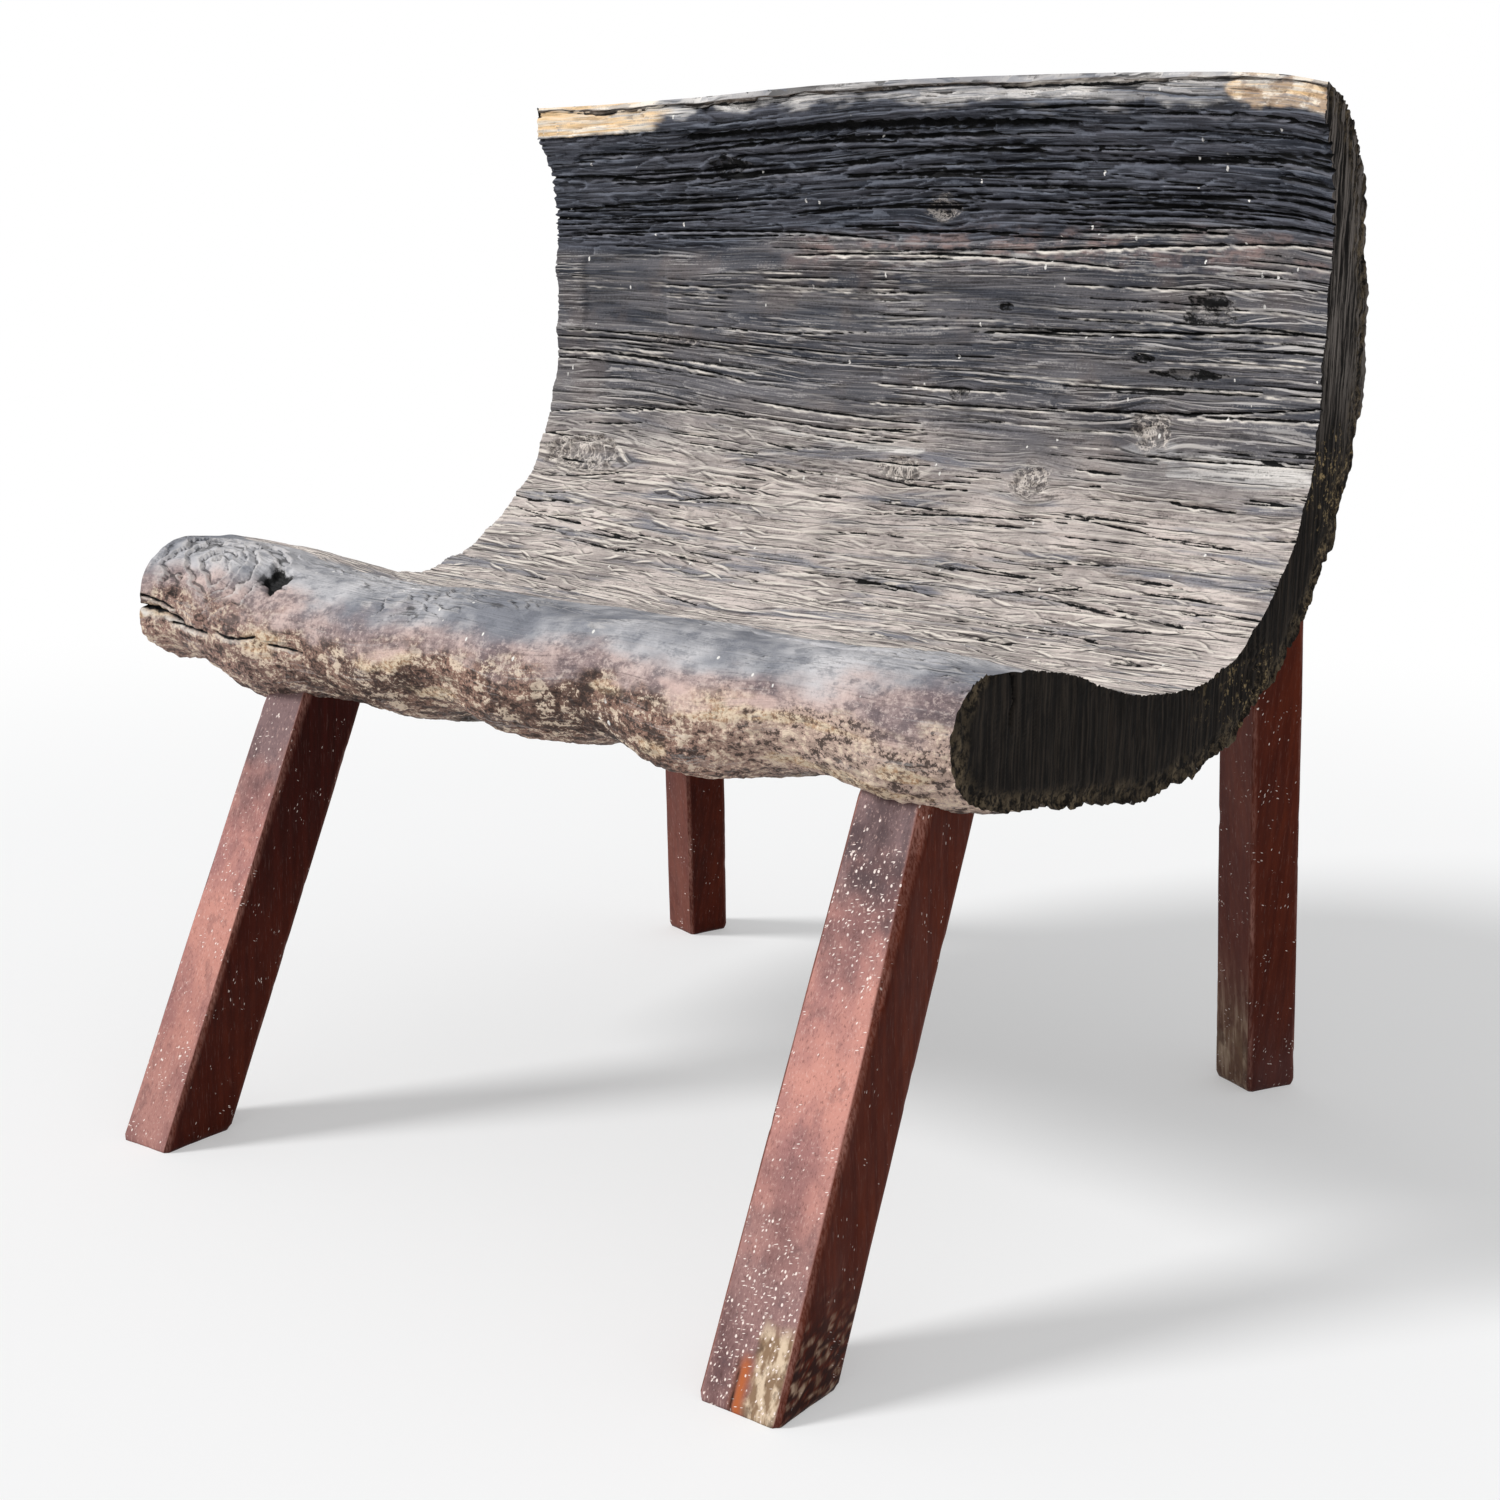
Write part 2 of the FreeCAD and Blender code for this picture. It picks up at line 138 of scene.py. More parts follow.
class Shader:
    # the nodes of one material or world; each method adds nodes and returns their output

    def __init__(self, owner):
        self.owner = owner
        owner.use_nodes = True
        self.tree = owner.node_tree
        self.tree.nodes.clear()

    def put(self, kind, feeds=None, **settings):
        # one node: feeds go to its sockets, as links or as plain values; returns its outputs
        node = self.tree.nodes.new("ShaderNode" + kind)
        for key, value in settings.items():
            setattr(node, key, value)
        for key, value in (feeds or {}).items():
            if isinstance(value, bpy.types.NodeSocket):
                self.tree.links.new(value, node.inputs[key])
            else:
                node.inputs[key].default_value = value
        return node.outputs

    def place(self):
        return self.put("TexCoord")["Object"]

    def value(self, name):
        return self.put("Attribute", attribute_name=name)["Fac"]

    def stretched(self, place, scale, turn=(0, 0, 0)):
        # a place turned, then scaled
        if any(turn):
            place = self.put("Mapping", {"Vector": place, "Rotation": turn})[0]
        return self.put("Mapping", {"Vector": place, "Scale": scale})[0]

    def noise(self, place, scale, detail, roughness=0.55, turn=(0, 0, 0)):
        feeds = {"Vector": self.stretched(place, scale, turn), "Scale": 1.0, "Detail": detail, "Roughness": roughness}
        return self.put("TexNoise", feeds)["Fac"]

    def between(self, value, low, high, start=0.0, end=1.0):
        # eased step from start to end as value goes from low to high
        feeds = {"Value": value, "From Min": low, "From Max": high, "To Min": start, "To Max": end}
        return self.put("MapRange", feeds, interpolation_type="SMOOTHSTEP")[0]

    def math(self, kind, *terms):
        return self.put("Math", dict(enumerate(terms)), operation=kind)[0]

    def chain(self, kind, first, *others):
        for other in others:
            first = self.math(kind, first, other)
        return first

    def add(self, *terms):
        return self.chain("ADD", *terms)

    def minus(self, first, second):
        return self.math("SUBTRACT", first, second)

    def product(self, *terms):
        return self.chain("MULTIPLY", *terms)

    def highest(self, *terms):
        return self.chain("MAXIMUM", *terms)

    def blend(self, share, under, over):
        # colours are outputs or screen colours, 0 to 255
        under, over = (tint(*colour) if isinstance(colour, tuple) else colour for colour in (under, over))
        return self.put("Mix", {0: share, 6: under, 7: over}, data_type="RGBA")[2]

    def cover(self, colour, *coats):
        # coats, each a share and a colour, laid one over another
        for share, coat in coats:
            colour = self.blend(share, colour, coat)
        return colour

    def tone(self, textures, base, *blotches):
        # two colours mixed by one texture, then blotches: texture, from, to, strength, colour
        texture, low, high, dark, light = base
        colour = self.blend(self.between(textures[texture], low, high), dark, light)
        return self.cover(colour, *((self.between(textures[texture], low, high, 0.0, strength), blotch)
                                    for texture, low, high, strength, blotch in blotches))

    def splinters(self, place, period, slope, bend, reach, share):
        # part = level - floor(level) across the grain: lit where each step begins and dark where it ends, painted light
        # and painted shadow, both broken into lengths by a second noise; also gives the height of the steps
        wave = self.noise(place, (1 / reach, 0.3 / period, 0.3 / period), 2, 0.5)
        ragged = self.noise(place, (90, 0.6 / period, 0.6 / period), 3, 0.5)
        across = self.put("VectorMath", {0: place, 1: (slope / period, 1 / period, 1 / period)},
                          operation="DOT_PRODUCT")["Value"]
        level = self.add(across, self.product(wave, bend), self.product(ragged, 0.30))
        part = self.math("FRACT", level, 0.0)
        length = self.noise(place, (1.6 / reach, 0.8 / period, 0.8 / period), 2, 0.5)
        there = self.between(length, 0.60 - 0.20 * share, 0.66 - 0.20 * share)
        lit = self.product(self.between(part, 0.26, 0.10), there)
        foot = self.product(self.between(part, 0.80, 0.93), there)
        return lit, foot, self.product(self.minus(1.0, part), there)

    def slits(self, place, wide, tall, thick, lean, share):
        # one lens in each cell of a wide x tall pattern, 1 - (2.4u)^2 - |v + lean*u|/thick, with u and v measured
        # from the cell's seed and a lean drawn for each cell; returns the lens and the rim along its lower side, which
        # the material uses as painted shade in a gap with a painted highlight below it, or as a lit chip with painted
        # shade below it
        wander = self.stretched(place, (0.8 / wide, 0.3 / tall, 1))
        wander = self.put("TexNoise", {"Vector": wander, "Scale": 1.0, "Detail": 2.0})["Color"]
        feeds = {0: wander, 1: (0.2 * wide, 0.9 * tall, 0), 2: place}
        bent = self.put("VectorMath", feeds, operation="MULTIPLY_ADD")[0]
        cell = self.stretched(bent, (1 / wide, 1 / tall, 1))
        seeds = self.put("TexVoronoi", {"Vector": cell, "Scale": 1.0}, voronoi_dimensions="2D")
        offset = self.put("VectorMath", {0: cell, 1: seeds["Position"]}, operation="SUBTRACT")[0]
        offset = self.put("SeparateXYZ", {"Vector": offset})
        drawn = self.put("SeparateColor", {"Color": seeds["Color"]})
        tilt = self.product(self.minus(drawn[0], 0.5), 2 * lean * wide / tall)
        level = self.add(offset[1], self.product(tilt, offset[0]))
        ends = self.minus(1.0, self.product(offset[0], offset[0], 5.8))
        there = self.between(drawn[1], share + 0.03, share - 0.03)
        below = self.minus(level, 1.8 * thick / tall)
        sides = [self.product(self.math("ABSOLUTE", side, 0.0), tall / thick) for side in (level, below)]
        lens = self.product(self.between(self.minus(ends, sides[0]), 0.0, 0.5), there)
        rim = self.product(self.between(self.minus(ends, sides[1]), 0.0, 0.6), there)
        return lens, rim

    def finish(self, colour, roughness, height, strength, reach, specular):
        # principled shader with a bump
        bump = self.put("Bump", {"Height": height, "Strength": strength, "Distance": reach})
        feeds = {"Base Color": colour, "Roughness": roughness, "Specular IOR Level": specular, "Normal": bump[0]}
        shader = self.put("BsdfPrincipled", feeds)
        self.put("OutputMaterial", {"Surface": shader[0]})
        return self.owner


# Camera

viewpoint = {
    "place": (0.98763, -1.1742, 0.60724),
    "turn": 0.67377, "tilt": 0.22368, "roll": 0.01516,  # radians: round Z, below the horizon, about its axis
    "lens": 53.28, "sensor": 36.0,
}


def addCamera():
    # axes from the three angles: ahead, then right and up turned by the roll
    turn, tilt, roll = viewpoint["turn"], viewpoint["tilt"], viewpoint["roll"]
    ahead = Vector((-math.sin(turn) * math.cos(tilt), math.cos(turn) * math.cos(tilt), -math.sin(tilt)))
    side = Vector((math.cos(turn), math.sin(turn), 0))
    up = side.cross(ahead)
    right = math.cos(roll) * side + math.sin(roll) * up
    top = math.cos(roll) * up - math.sin(roll) * side
    data = bpy.data.cameras.new("viewCamera")
    data.lens, data.sensor_width = viewpoint["lens"], viewpoint["sensor"]
    camera = bpy.data.objects.new("viewCamera", data)
    camera.matrix_world = Matrix.Translation(viewpoint["place"]) @ Matrix((right, top, -ahead)).transposed().to_4x4()
    bpy.context.scene.collection.objects.link(camera)
    bpy.context.scene.camera = camera


addCamera()
print("camera placed")


# The hewn log: its form

logForm = {
    "length": 0.700, "trunkRadius": 0.265, "hollowRadius": 0.168,
    "seatHeight": 0.340, "seatThickness": 0.065, "seatDepth": 0.395,
    "backThickness": 0.071, "backHeight": 0.376,
    "lipRise": 0.044, "lipRadius": 0.040,
    "bandHeight": 0.026, "bandOverhang": 0.022, "curlHeight": 0.058,
    "crownDrop": 0.050, "crownBulge": 0.012,
    "topWear": 0.009, "wearEase": 0.6,
    "scoops": 8, "scoopDepth": 0.003, "ridges": 10, "barkDepth": 0.006, "lipWave": 0.003, "lipWaves": 5,
    "swing": 0.4, "swingTurn": 2.3, "swingShift": 0.7,
    # place along half the length, then changes of lip height, lip reach, lip size, top height,
    # belly depth, hollow size and seat height
    "wander": [
        [-1.00, 0.20, -0.08, 0.12, 0.00, 0.10, 0.07, 0.10],
        [-0.78, 0.12, -0.08, 0.16, 0.06, 0.04, 0.06, 0.10],
        [-0.50, -0.12, 0.06, 0.12, 0.18, -0.02, 0.04, 0.05],
        [-0.10, -0.05, 0.26, 0.03, 0.44, 0.02, 0.00, 0.00],
        [0.30, -0.02, 0.24, 0.00, 0.48, 0.00, 0.00, 0.00],
        [0.70, -0.04, 0.14, -0.04, 0.36, 0.00, 0.00, 0.00],
        [0.90, -0.02, 0.00, -0.04, 0.20, 0.00, 0.00, 0.00],
        [1.00, -0.08, -0.06, -0.05, -0.04, 0.00, 0.00, 0.00],
    ],
    # rows of points across each stretch of the outline, and columns along the log
    "rows": {"band": 26, "curl": 60, "face": 130, "hollow": 250, "dish": 115, "shoulder": 115,
             "lip": 120, "under": 100, "trunk": 410, "crown": 66},
    "columns": 401,
}


def wanderAt(places):
    # cubic through the stations: p + ease*dp + run*(leave*slope before + arrive*slope after)
    rows = np.array(logForm["wander"])
    at = rows[:, 0]
    last = len(at) - 1
    before = np.maximum(np.arange(last + 1) - 1, 0)
    after = np.minimum(np.arange(last + 1) + 1, last)
    slopes = (rows[after] - rows[before]) / (at[after] - at[before])[:, None]
    i = np.clip(np.searchsorted(at, places, side="right") - 1, 0, last - 1)
    run = (at[i + 1] - at[i])[:, None]
    t = (places - at[i])[:, None] / run
    ease, leave, arrive = t * t * (3 - 2 * t), t * (1 - t) ** 2, t * t * (t - 1)
    values = rows[i] + ease * (rows[i + 1] - rows[i]) + run * (leave * slopes[i] + arrive * slopes[i + 1])
    return values.T[1:]


def sectionValues(places, wander):
    # sizes of the section at each column; under is the angle at which the flat underside touches lip and trunk
    form = logForm
    rise, reach, lip, top, belly, hollow, low = wander
    v = {
        "lowZ": form["seatHeight"] + form["lipRise"] * low,
        "hollow": form["hollowRadius"] * (1 + hollow),
        "crestY": -form["seatDepth"] - form["lipRadius"] * reach,
        "crestZ": form["seatHeight"] + form["lipRise"] * (1 + rise),
        "lip": form["lipRadius"] * (1 + lip) + form["lipWave"] * np.sin(np.pi * form["lipWaves"] * places),
        "topZ": form["seatHeight"] + form["backHeight"] + form["bandHeight"] * top,
        "trunkY": form["backThickness"] - form["trunkRadius"],
        "trunkZ": form["seatHeight"] - form["seatThickness"] * (1 + belly) + form["trunkRadius"],
    }
    up = v["trunkZ"] - v["crestZ"] + v["lip"]
    back = v["trunkY"] - v["crestY"]
    touch = (v["lip"] - form["trunkRadius"]) / np.hypot(back, up)
    v["under"] = np.arctan2(up, back) - np.arccos(touch)
    return v


def sectionCurve(v):
    # the outline as arcs and lines, point = centre + radius*(cos a, sin a), from the top edge down the
    # front of the back, over the seat, round the lip, and back along the underside and the trunk
    form = logForm

    def steps(name):
        return np.linspace(0, 1, form["rows"][name], endpoint=False)[:, None]

    def line(name, y0, z0, y1, z1):
        t = steps(name)
        return y0 + t * (y1 - y0), z0 + t * (z1 - z0)

    def arc(name, y, z, radius, start, end):
        a = start + steps(name) * (end - start)
        return y + radius * np.cos(a), z + radius * np.sin(a)

    over, quarter, trunk = form["bandOverhang"], 0.5 * np.pi, form["trunkRadius"]
    bandFoot = v["topZ"] - form["bandHeight"]
    curlFoot = bandFoot - form["curlHeight"]
    curlRadius = (form["curlHeight"] ** 2 + over ** 2) / (2 * over)
    curlTurn = 2 * np.arctan(over / form["curlHeight"])
    hollow, hollowZ = v["hollow"], v["lowZ"] + v["hollow"]
    run, rise = -hollow - v["crestY"], v["crestZ"] - v["lowZ"]
    dish = (run ** 2 + rise ** 2) / (4 * rise)
    turn = 2 * np.arctan(rise / run)
    lipZ = v["crestZ"] - v["lip"]
    cosUnder, sinUnder = np.cos(v["under"]), np.sin(v["under"])
    rear = np.arcsin((v["topZ"] - form["crownDrop"] - v["trunkZ"]) / trunk)
    rearY, rearZ = v["trunkY"] + trunk * np.cos(rear), v["trunkZ"] + trunk * np.sin(rear)
    stretches = [
        line("band", -over, v["topZ"], -over, bandFoot),
        arc("curl", -curlRadius, curlFoot, curlRadius, curlTurn, 0),
        line("face", 0, curlFoot, 0, hollowZ),
        arc("hollow", -hollow, hollowZ, hollow, 0, -quarter),
        arc("dish", -hollow, v["lowZ"] + dish, dish, -quarter, -quarter - turn),
        arc("shoulder", v["crestY"], v["crestZ"] - dish, dish, quarter - turn, quarter),
        arc("lip", v["crestY"], lipZ, v["lip"], -3 * quarter, v["under"]),
        line("under", v["crestY"] + v["lip"] * cosUnder, lipZ + v["lip"] * sinUnder,
             v["trunkY"] + trunk * cosUnder, v["trunkZ"] + trunk * sinUnder),
        arc("trunk", v["trunkY"], v["trunkZ"], trunk, v["under"], rear),
    ]
    t = steps("crown")
    chordY, chordZ = -over - rearY, v["topZ"] - rearZ
    bulge = 4 * form["crownBulge"] * t * (1 - t) / np.hypot(chordY, chordZ)
    stretches.append((rearY + t * chordY + bulge * chordZ, rearZ + t * chordZ - bulge * chordY))
    wide = form["columns"]
    y = np.vstack([np.broadcast_to(part[0], (len(part[0]), wide)) for part in stretches])
    z = np.vstack([np.broadcast_to(part[1], (len(part[1]), wide)) for part in stretches])
    return y, z


def rowOf(name):
    # first row of a stretch of the outline
    names = list(logForm["rows"])
    return sum(logForm["rows"][n] for n in names[:names.index(name)])


def swung(depth, places, band):
    # a depth that comes and goes along the log, differently in each band
    form = logForm
    return depth * (1 + form["swing"] * np.sin(np.pi * (form["swingTurn"] * places + form["swingShift"] * band)))


def logSkin():
    # plain skin with its scoops, 4t(1 - t) deep across each band, and its bark ridges, whose flanks fall evenly;
    # returns points, outward normals, x, length run down the outline, and nearness to scoop edges and grooves
    form = logForm
    places = np.linspace(-1, 1, form["columns"])
    y, z = sectionCurve(sectionValues(places, wanderAt(places)))
    x = np.broadcast_to(0.5 * form["length"] * places, y.shape)
    points = np.stack([x, y, z], -1)
    normals = gridNormals(points)
    run = np.cumsum(np.linalg.norm(np.diff(points, axis=0, prepend=points[:1]), axis=2), axis=0)

    def part(first, last, count):
        share = (run - run[rowOf(first)]) / (run[rowOf(last)] - run[rowOf(first)])
        band = np.clip(np.floor(share * count), 0, count - 1)
        return band, share * count - band

    band, t = part("face", "dish", form["scoops"])
    sunk = swung(form["scoopDepth"], places, band) * np.clip(4 * t * (1 - t), 0, 1)
    edge = bell(np.minimum(abs(t), abs(1 - t)), 0.05) * (t > -0.1) * (t < 1.1)
    ridge, t = part("trunk", "crown", form["ridges"])
    before = swung(form["barkDepth"], places, ridge) * (ridge > 0)
    after = swung(form["barkDepth"], places, ridge + 1) * (ridge < form["ridges"] - 1)
    inside = (t >= 0) & (t <= 1)
    sunk += inside * np.where(t < 0.5, before * (1 - 2 * t), after * (2 * t - 1))
    groove = inside * bell(np.minimum(t, 1 - t), 0.10)
    points = points - normals * sunk[..., None]
    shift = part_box("seat_log")[1][1] - points[..., 1].max()
    points[..., 1] += shift
    down = np.broadcast_to(run[:, form["columns"] // 2][:, None], x.shape)
    return points, normals, x, down, edge, groove, shift


# The hewn log: cracks, knots, tool marks and bark

# Along is metres from the middle of the log, and down is metres run from the top edge round the section
logRelief = {
    "seed": 7,
    # along from, along to, down from, down to, half width, depth, brightness of the painted highlight on the rim below
    # it
    "cracks": [
        (0.08, 0.36, 0.187, 0.176, 0.0011, 0.006, 1.0),
        (0.13, 0.36, 0.239, 0.227, 0.0011, 0.006, 0.6),
        (0.22, 0.36, 0.267, 0.262, 0.0009, 0.003, 0.9),
        # this wide groove under the band is painted dark as the shadow under the band's overhang
        (-0.20, 0.17, 0.034, 0.038, 0.0042, 0.008, 0.0),
        (-0.10, 0.10, 0.047, 0.045, 0.0022, 0.005, 0.0),
        (-0.36, -0.16, 0.0275, 0.0275, 0.0013, 0.005, 0.0),
        (-0.36, 0.00, 0.116, 0.122, 0.0014, 0.004, 1.3),
        (-0.36, -0.24, 0.062, 0.068, 0.0018, 0.005, 0.2),
        (-0.10, 0.20, 0.133, 0.138, 0.0013, 0.003, 1.6),
        (0.10, 0.36, 0.128, 0.112, 0.0014, 0.003, 1.5),
        (0.14, 0.36, 0.150, 0.142, 0.0009, 0.003, 1.2),
        (-0.16, 0.06, 0.162, 0.160, 0.0009, 0.003, 0.3),
        (-0.26, -0.02, 0.196, 0.190, 0.0008, 0.003, 0.8),
        (-0.24, 0.02, 0.211, 0.206, 0.0008, 0.003, 0.5),
        (-0.36, -0.14, 0.232, 0.240, 0.0012, 0.003, 1.2),
        (-0.36, 0.04, 0.282, 0.270, 0.0010, 0.003, 1.5),
        (0.17, 0.25, 0.706, 0.724, 0.0024, 0.008, 0.4),
        (0.24, 0.33, 0.722, 0.732, 0.0020, 0.006, 0.4),
        (-0.355, -0.300, 0.799, 0.806, 0.0024, 0.007, 1.2),
        (-0.318, -0.268, 0.809, 0.801, 0.0016, 0.005, 1.0),
        (-0.262, -0.215, 0.797, 0.792, 0.0013, 0.004, 1.0),
        (-0.205, -0.168, 0.795, 0.799, 0.0010, 0.003, 0.9),
        (-0.350, -0.310, 0.792, 0.800, 0.0014, 0.004, 0.8),
        (0.00, 0.16, 0.330, 0.322, 0.0012, 0.003, 0.8),
        (-0.18, -0.12, 0.342, 0.330, 0.0013, 0.003, 0.5),
        (-0.02, 0.10, 0.392, 0.398, 0.0012, 0.003, 0.8),
        (0.12, 0.22, 0.420, 0.426, 0.0014, 0.003, 0.6),
    ],
    # more marks in each stretch: down from, down to, count, longest, steepest, half width, depth, rim
    "scattered": [
        (0.028, 0.118, 150, 0.20, 0.04, 0.0010, 0.0032, 0.5),
        (0.115, 0.270, 130, 0.24, 0.02, 0.0008, 0.0018, 1.2),
        (0.262, 0.400, 220, 0.10, 0.10, 0.0008, 0.0020, 1.3),
        (0.380, 0.700, 130, 0.060, 0.30, 0.0012, 0.0018, 1.0),
        (0.380, 0.700, 90, 0.055, 0.10, 0.0014, 0.0032, 0.8),
        (0.002, 0.026, 30, 0.12, 0.03, 0.0006, 0.0012, 0.3),
        (1.640, 1.712, 60, 0.20, 0.05, 0.0010, 0.0025, 0.4),
    ],
    # along, down, radius along, radius down, depth, darkness: the dark ones are holes, dark knot wood with painted
    # shade inside, the others torn
    "knots": [
        (0.262, 0.164, 0.020, 0.0115, 0.004, 0.72),
        (0.250, 0.210, 0.026, 0.0042, 0.004, 0.85),
        (0.214, 0.200, 0.010, 0.0035, 0.003, 1.0),
        (-0.156, 0.058, 0.018, 0.008, 0.005, 0.8),
        (0.226, 0.250, 0.015, 0.014, 0.005, 0.0),
        (0.136, 0.292, 0.015, 0.012, 0.004, 0.0),
        (0.022, 0.293, 0.020, 0.009, 0.004, 0.0),
        (0.064, 0.232, 0.009, 0.006, 0.003, 0.7),
        (0.100, 0.168, 0.006, 0.003, 0.003, 1.0),
        (0.042, 0.098, 0.014, 0.008, 0.003, 0.3),
        (-0.300, 0.312, 0.040, 0.015, 0.005, 0.0),
        (-0.215, 0.214, 0.034, 0.005, 0.003, 0.4),
    ],
    # pale or ochre bark: along, down, radius along, radius down
    "cream": [
        (-0.205, 0.794, 0.024, 0.009), (-0.080, 0.792, 0.030, 0.008), (-0.045, 0.822, 0.030, 0.010),
        (0.110, 0.794, 0.016, 0.006), (0.150, 0.820, 0.014, 0.007), (0.270, 0.834, 0.070, 0.009),
        (0.318, 0.812, 0.020, 0.008), (-0.335, 0.803, 0.030, 0.005), (0.250, 0.795, 0.060, 0.005),
        (0.192, 0.785, 0.042, 0.013),
    ],
    # smooth hewn patches: along from, along to, down from, down to, depth
    "flats": [
        (-0.322, -0.224, 0.128, 0.206, 0.0018),
        (-0.170, -0.010, 0.152, 0.188, 0.0010),
        (0.020, 0.150, 0.144, 0.182, 0.0010),
        (0.170, 0.300, 0.207, 0.224, 0.0008),
    ],
    # split pale wood: along, down, radius along, radius down
    "split": [
        (0.300, 0.274, 0.070, 0.011), (0.235, 0.262, 0.030, 0.006), (-0.020, 0.276, 0.090, 0.003),
        (0.130, 0.134, 0.110, 0.003),
    ],
    # the swollen knot at the left end of the lip and the hole beside it
    "knob": {"along": -0.286, "down": 0.752, "radius": 0.062, "rings": 4.0},
    "hole": {"along": -0.222, "down": 0.752, "radius": 0.011, "depth": 0.008},
    # where the underside of the lip arches up: along, down, reach along, reach down, depth
    "arches": [
        (-0.100, 0.835, 0.060, 0.032, 0.014), (0.002, 0.830, 0.016, 0.028, -0.002), (0.034, 0.835, 0.026, 0.030, 0.007),
        (0.075, 0.835, 0.028, 0.030, 0.005), (0.138, 0.832, 0.032, 0.034, -0.007), (0.215, 0.835, 0.035, 0.028, 0.003),
        (0.340, 0.835, 0.040, 0.030, 0.004),
    ],
    "chips": 0.0016, "lastStep": 0.0013, "pressDepth": 0.004, "pressShare": 0.2,
    # lumps on the right edge of the trunk: down, reach and size
    "lumps": [(1.615, 0.018, 1.0), (1.50, 0.04, 0.8), (1.40, 0.02, 0.7)],
    # how long and how wide each noise is, its seed and its number of layers
    "noises": {
        "wander": (0.16, 0.06, 11, 3), "drift": (0.20, 0.05, 13, 2), "rough": (0.030, 0.014, 17, 4),
        "swell": (0.09, 0.05, 33, 2), "fibre": (0.090, 0.0046, 41, 2), "coarseBend": (0.105, 0.022, 44, 3),
        "thinBend": (0.09, 0.012, 46, 2), "calm": (0.12, 0.030, 47, 2), "foldBend": (0.06, 0.03, 56, 3),
        "lipWave": (0.08, 0.05, 57, 3), "wrinkle": (0.11, 0.05, 58, 2), "swirl": (0.045, 0.030, 59, 3),
        "knotEdge": (0.012, 0.007, 61, 3), "knotLump": (0.016, 0.009, 63, 3), "pitEdge": (0.011, 0.009, 65, 3),
        "crumb": (0.0080, 0.0062, 67, 3), "clump": (0.040, 0.020, 71, 3), "barkFibre": (0.05, 0.006, 75, 3),
        "flatEdge": (0.012, 0.012, 97, 2),
    },
    # metres
    "heights": {
        "swell": 0.0010, "charCoarse": 0.0034, "charThin": 0.0016, "charFibre": 0.0007, "charDrop": 0.0025,
        "fibre": 0.0006, "thin": 0.0008, "coarse": 0.0014, "lipWave": 0.0022, "ring": 0.0034, "ringDrop": 0.0016,
        "fold": 0.0020, "crumb": 0.0013, "crumbClump": 0.0008, "barkClump": 0.0018, "furrow": 0.0026,
        "plate": 0.0016, "barkFibre": 0.0010, "crownClump": 0.0015, "crownCoarse": 0.0018, "crownDrop": 0.002,
        "lump": 0.004,
    },
    # where each finish begins or the char ends: metres down, how strongly it wanders, roughens and leans, and how
    # far from there its border starts and ends
    "zones": {
        "char": (0.118, 0.5, 0.0, 0.03, 0.010, -0.004), "dust": (0.262, 2.2, 0.0, 0.0, -0.03, 0.07),
        "lip": (0.690, 0.9, 0.004, 0.0, -0.003, 0.004), "rose": (0.768, 0.8, 0.008, 0.0, -0.018, 0.010),
        "bark": (0.788, 0.5, 0.010, 0.0, -0.010, 0.006),
    },
    "wanderDepth": 0.016, "driftDepth": 0.0035,
}


def allMarks():
    # the placed cracks and seeded ones like them: along from and to, down from and to, half width, depth, rim
    relief = logRelief
    rng = np.random.default_rng(relief["seed"])
    marks = [np.array(relief["cracks"])]
    for low, high, count, longest, steepest, width, depth, rim in relief["scattered"]:
        size = rng.uniform(0.6, 1.5, count)
        length = longest * rng.uniform(0.2, 1.0, count) ** 1.5
        start, level = rng.uniform(-0.38, 0.35, count), rng.uniform(low, high, count)
        drop = length * rng.uniform(-steepest, steepest, count)
        marks.append(np.stack([start, start + length, level, level + drop, width * size, depth * size,
                               rim * rng.uniform(0, 1, count) ** 2 * 1.6], -1))
    return np.concatenate(marks)


def markField(x, down):
    # each mark is a bell across a straight, slightly ragged line, tapered at both ends, painted dark inside as shade in
    # the crack, with a pale rim below as a painted highlight
    cut, dark, pale = np.zeros(x.shape), np.zeros(x.shape), np.zeros(x.shape)
    levels, places = down[:, 0], x[0]
    for number, (start, end, top, foot, width, depth, rim) in enumerate(allMarks()):
        margin = 0.003 + 5 * width
        rows = slice(*np.searchsorted(levels, [min(top, foot) - margin, max(top, foot) + margin]))
        columns = slice(*np.searchsorted(places, [start, end]))
        along = x[rows, columns]
        if along.size == 0:
            continue
        t = (along - start) / (end - start)
        taper = np.sqrt(np.clip(4 * t * (1 - t), 0, 1))
        wiggle = softNoise(along / 0.040, number + 0.5, 90) + 0.45 * softNoise(along / 0.010, number + 0.5, 91)
        bow = 0.1 * np.sin(7.0 * number) * (end - start) * t * (1 - t) * (abs(foot - top) > 0.004)
        line = top + (foot - top) * t + 0.0005 * wiggle + bow
        ragged = 0.75 + 0.5 * softNoise(along / 0.007, number * 1.7, 95)
        across = (down[rows, columns] - line) / (width * ragged * (0.4 + 0.6 * taper))
        shape = bell(across, 1.0) * smooth(taper, 0.0, 0.4)
        cut[rows, columns] = np.minimum(cut[rows, columns], -depth * shape)
        dark[rows, columns] = np.maximum(dark[rows, columns], shape * smooth(depth, 0.0, 0.003))
        broken = 0.6 + 0.8 * softNoise(along / 0.02, number, 96)
        edge = rim * bell(across - 1.9, 0.9) * smooth(taper, 0.1, 0.6) * broken
        pale[rows, columns] = np.maximum(pale[rows, columns], edge)
    return cut, dark, pale


def skinNoise(name, x, down):
    # noise over the skin by its entry in the table
    along, across, seed, count = logRelief["noises"][name]
    return layers(x / along, down / across, seed, count)


